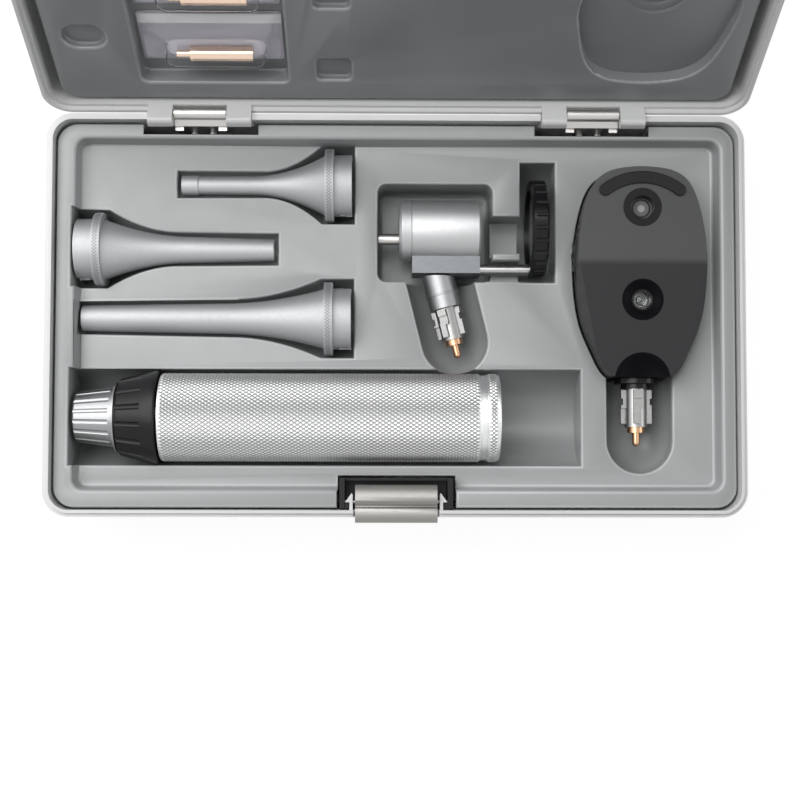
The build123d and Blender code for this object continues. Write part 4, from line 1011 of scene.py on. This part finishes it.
# The camera looks down from above, with small turns in degrees.
CAMERA_PLACE = (-0.00494, -0.05237, 0.50364)
CAMERA_TURNS = ((-0.760, "Y"), (2.878, "X"), (0.097, "Z"))
CAMERA_LENS = 63.0


def seen_rays(tree):
    """A factor that is one for camera, glossy and transmitted rays."""
    path = tree.nodes.new("ShaderNodeLightPath").outputs
    first = calc(tree, "MAXIMUM", path["Is Camera Ray"], path["Is Transmission Ray"])
    return calc(tree, "MAXIMUM", first, path["Is Glossy Ray"])


def add_world(scene):
    """White surroundings for the eye and a weak ambient light for the object."""
    world = bpy.data.worlds.new("Surroundings")
    scene.world = world
    world.use_nodes = True
    tree = world.node_tree
    tree.nodes.clear()
    mix = tree.nodes.new("ShaderNodeMixShader")
    tree.links.new(seen_rays(tree), mix.inputs["Fac"])
    for socket, strength in ((1, AMBIENT), (2, 1.0)):
        glow = tree.nodes.new("ShaderNodeBackground")
        glow.inputs["Color"].default_value = WHITE
        glow.inputs["Strength"].default_value = strength
        tree.links.new(glow.outputs["Background"], mix.inputs[socket])
    out = tree.nodes.new("ShaderNodeOutputWorld")
    tree.links.new(mix.outputs["Shader"], out.inputs["Surface"])


def add_floor(scene):
    """A white floor just below the case, which keeps the case's shadow."""
    bm = bmesh.new()
    bmesh.ops.create_grid(bm, x_segments=1, y_segments=1, size=FLOOR_HALF)
    bmesh.ops.translate(bm, vec=(0, 0, -FLOOR_DROP), verts=bm.verts)
    mesh = bpy.data.meshes.new("Floor")
    bm.to_mesh(mesh)
    bm.free()
    floor = bpy.data.objects.new("Floor", mesh)
    scene.collection.objects.link(floor)
    made, tree, shader, where = new_material("floor_white")
    fibre = noise(tree, where, scale=60.0, detail=2.0)
    tint(tree, shader, fibre, base=(0.86, 0.86, 0.86), vary=0.01)
    shader.inputs["Roughness"].default_value = 0.9
    shader.inputs["Specular IOR Level"].default_value = 0.1
    glow = tree.nodes.new("ShaderNodeEmission")
    glow.inputs["Strength"].default_value = FLOOR_GLOW
    mix = tree.nodes.new("ShaderNodeMixShader")
    share = calc(tree, "MULTIPLY", seen_rays(tree), FLOOR_GLOW_SHARE)
    tree.links.new(share, mix.inputs["Fac"])
    tree.links.new(shader.outputs["BSDF"], mix.inputs[1])
    tree.links.new(glow.outputs["Emission"], mix.inputs[2])
    out = tree.nodes["Material Output"]
    tree.links.new(mix.outputs["Shader"], out.inputs["Surface"])
    mesh.materials.append(made)


def add_lamp(scene, name, place, side, watts):
    """A soft square lamp that looks at the middle of the case."""
    lamp = bpy.data.lights.new(name, "AREA")
    lamp.shape = "SQUARE"
    lamp.size = side
    lamp.energy = watts
    made = bpy.data.objects.new(name, lamp)
    scene.collection.objects.link(made)
    made.location = place
    made.rotation_mode = "QUATERNION"
    made.rotation_quaternion = (-Vector(place)).to_track_quat("-Z", "Y")


def add_camera(scene):
    """The camera above the open case."""
    data = bpy.data.cameras.new("Camera")
    data.sensor_width = 36.0
    data.lens = CAMERA_LENS
    data.clip_start = 0.02
    data.clip_end = 20.0
    made = bpy.data.objects.new("Camera", data)
    scene.collection.objects.link(made)
    place = Matrix.Translation(CAMERA_PLACE)
    for degrees, axis in CAMERA_TURNS:
        place = place @ Matrix.Rotation(math.radians(degrees), 4, axis)
    made.matrix_world = place
    scene.camera = made


# ---- panel and running ---------------------------------------------------------------


class CASE_PT_panel(bpy.types.Panel):
    """Sizes, colours and steps of the carry case"""

    bl_label = "Carry case"
    bl_idname = "CASE_PT_panel"
    bl_space_type = "VIEW_3D"
    bl_region_type = "UI"
    bl_category = "Carry case"

    def draw(self, context):
        layout = self.layout
        for group in (context.scene.case_sizes, context.scene.case_colours):
            for name in group.__annotations__:
                layout.prop(group, name)
        for step in STEPS:
            layout.operator(step.bl_idname)


STEPS = (
    CASE_OT_shells,
    CASE_OT_hinges,
    CASE_OT_latch,
    CASE_OT_tray,
    CASE_OT_insert,
    CASE_OT_bulb_packs,
    CASE_OT_handle,
    CASE_OT_specula,
    CASE_OT_otoscope,
    CASE_OT_ophthalmoscope,
    CASE_OT_stage,
)
CLASSES = (CaseColours, CaseSizes, *STEPS, CASE_PT_panel)


def register():
    """Adds the classes and the settings of the scene."""
    for made in CLASSES:
        bpy.utils.register_class(made)
    bpy.types.Scene.case_colours = bpy.props.PointerProperty(type=CaseColours)
    bpy.types.Scene.case_sizes = bpy.props.PointerProperty(type=CaseSizes)


def unregister():
    """Takes the settings and the classes away again."""
    del bpy.types.Scene.case_sizes
    del bpy.types.Scene.case_colours
    for made in reversed(CLASSES):
        bpy.utils.unregister_class(made)


def main():
    """Dresses the case."""
    register()
    for step in STEPS:
        group, name = step.bl_idname.split(".")
        getattr(getattr(bpy.ops, group), name)()


if __name__ == "__main__":
    main()
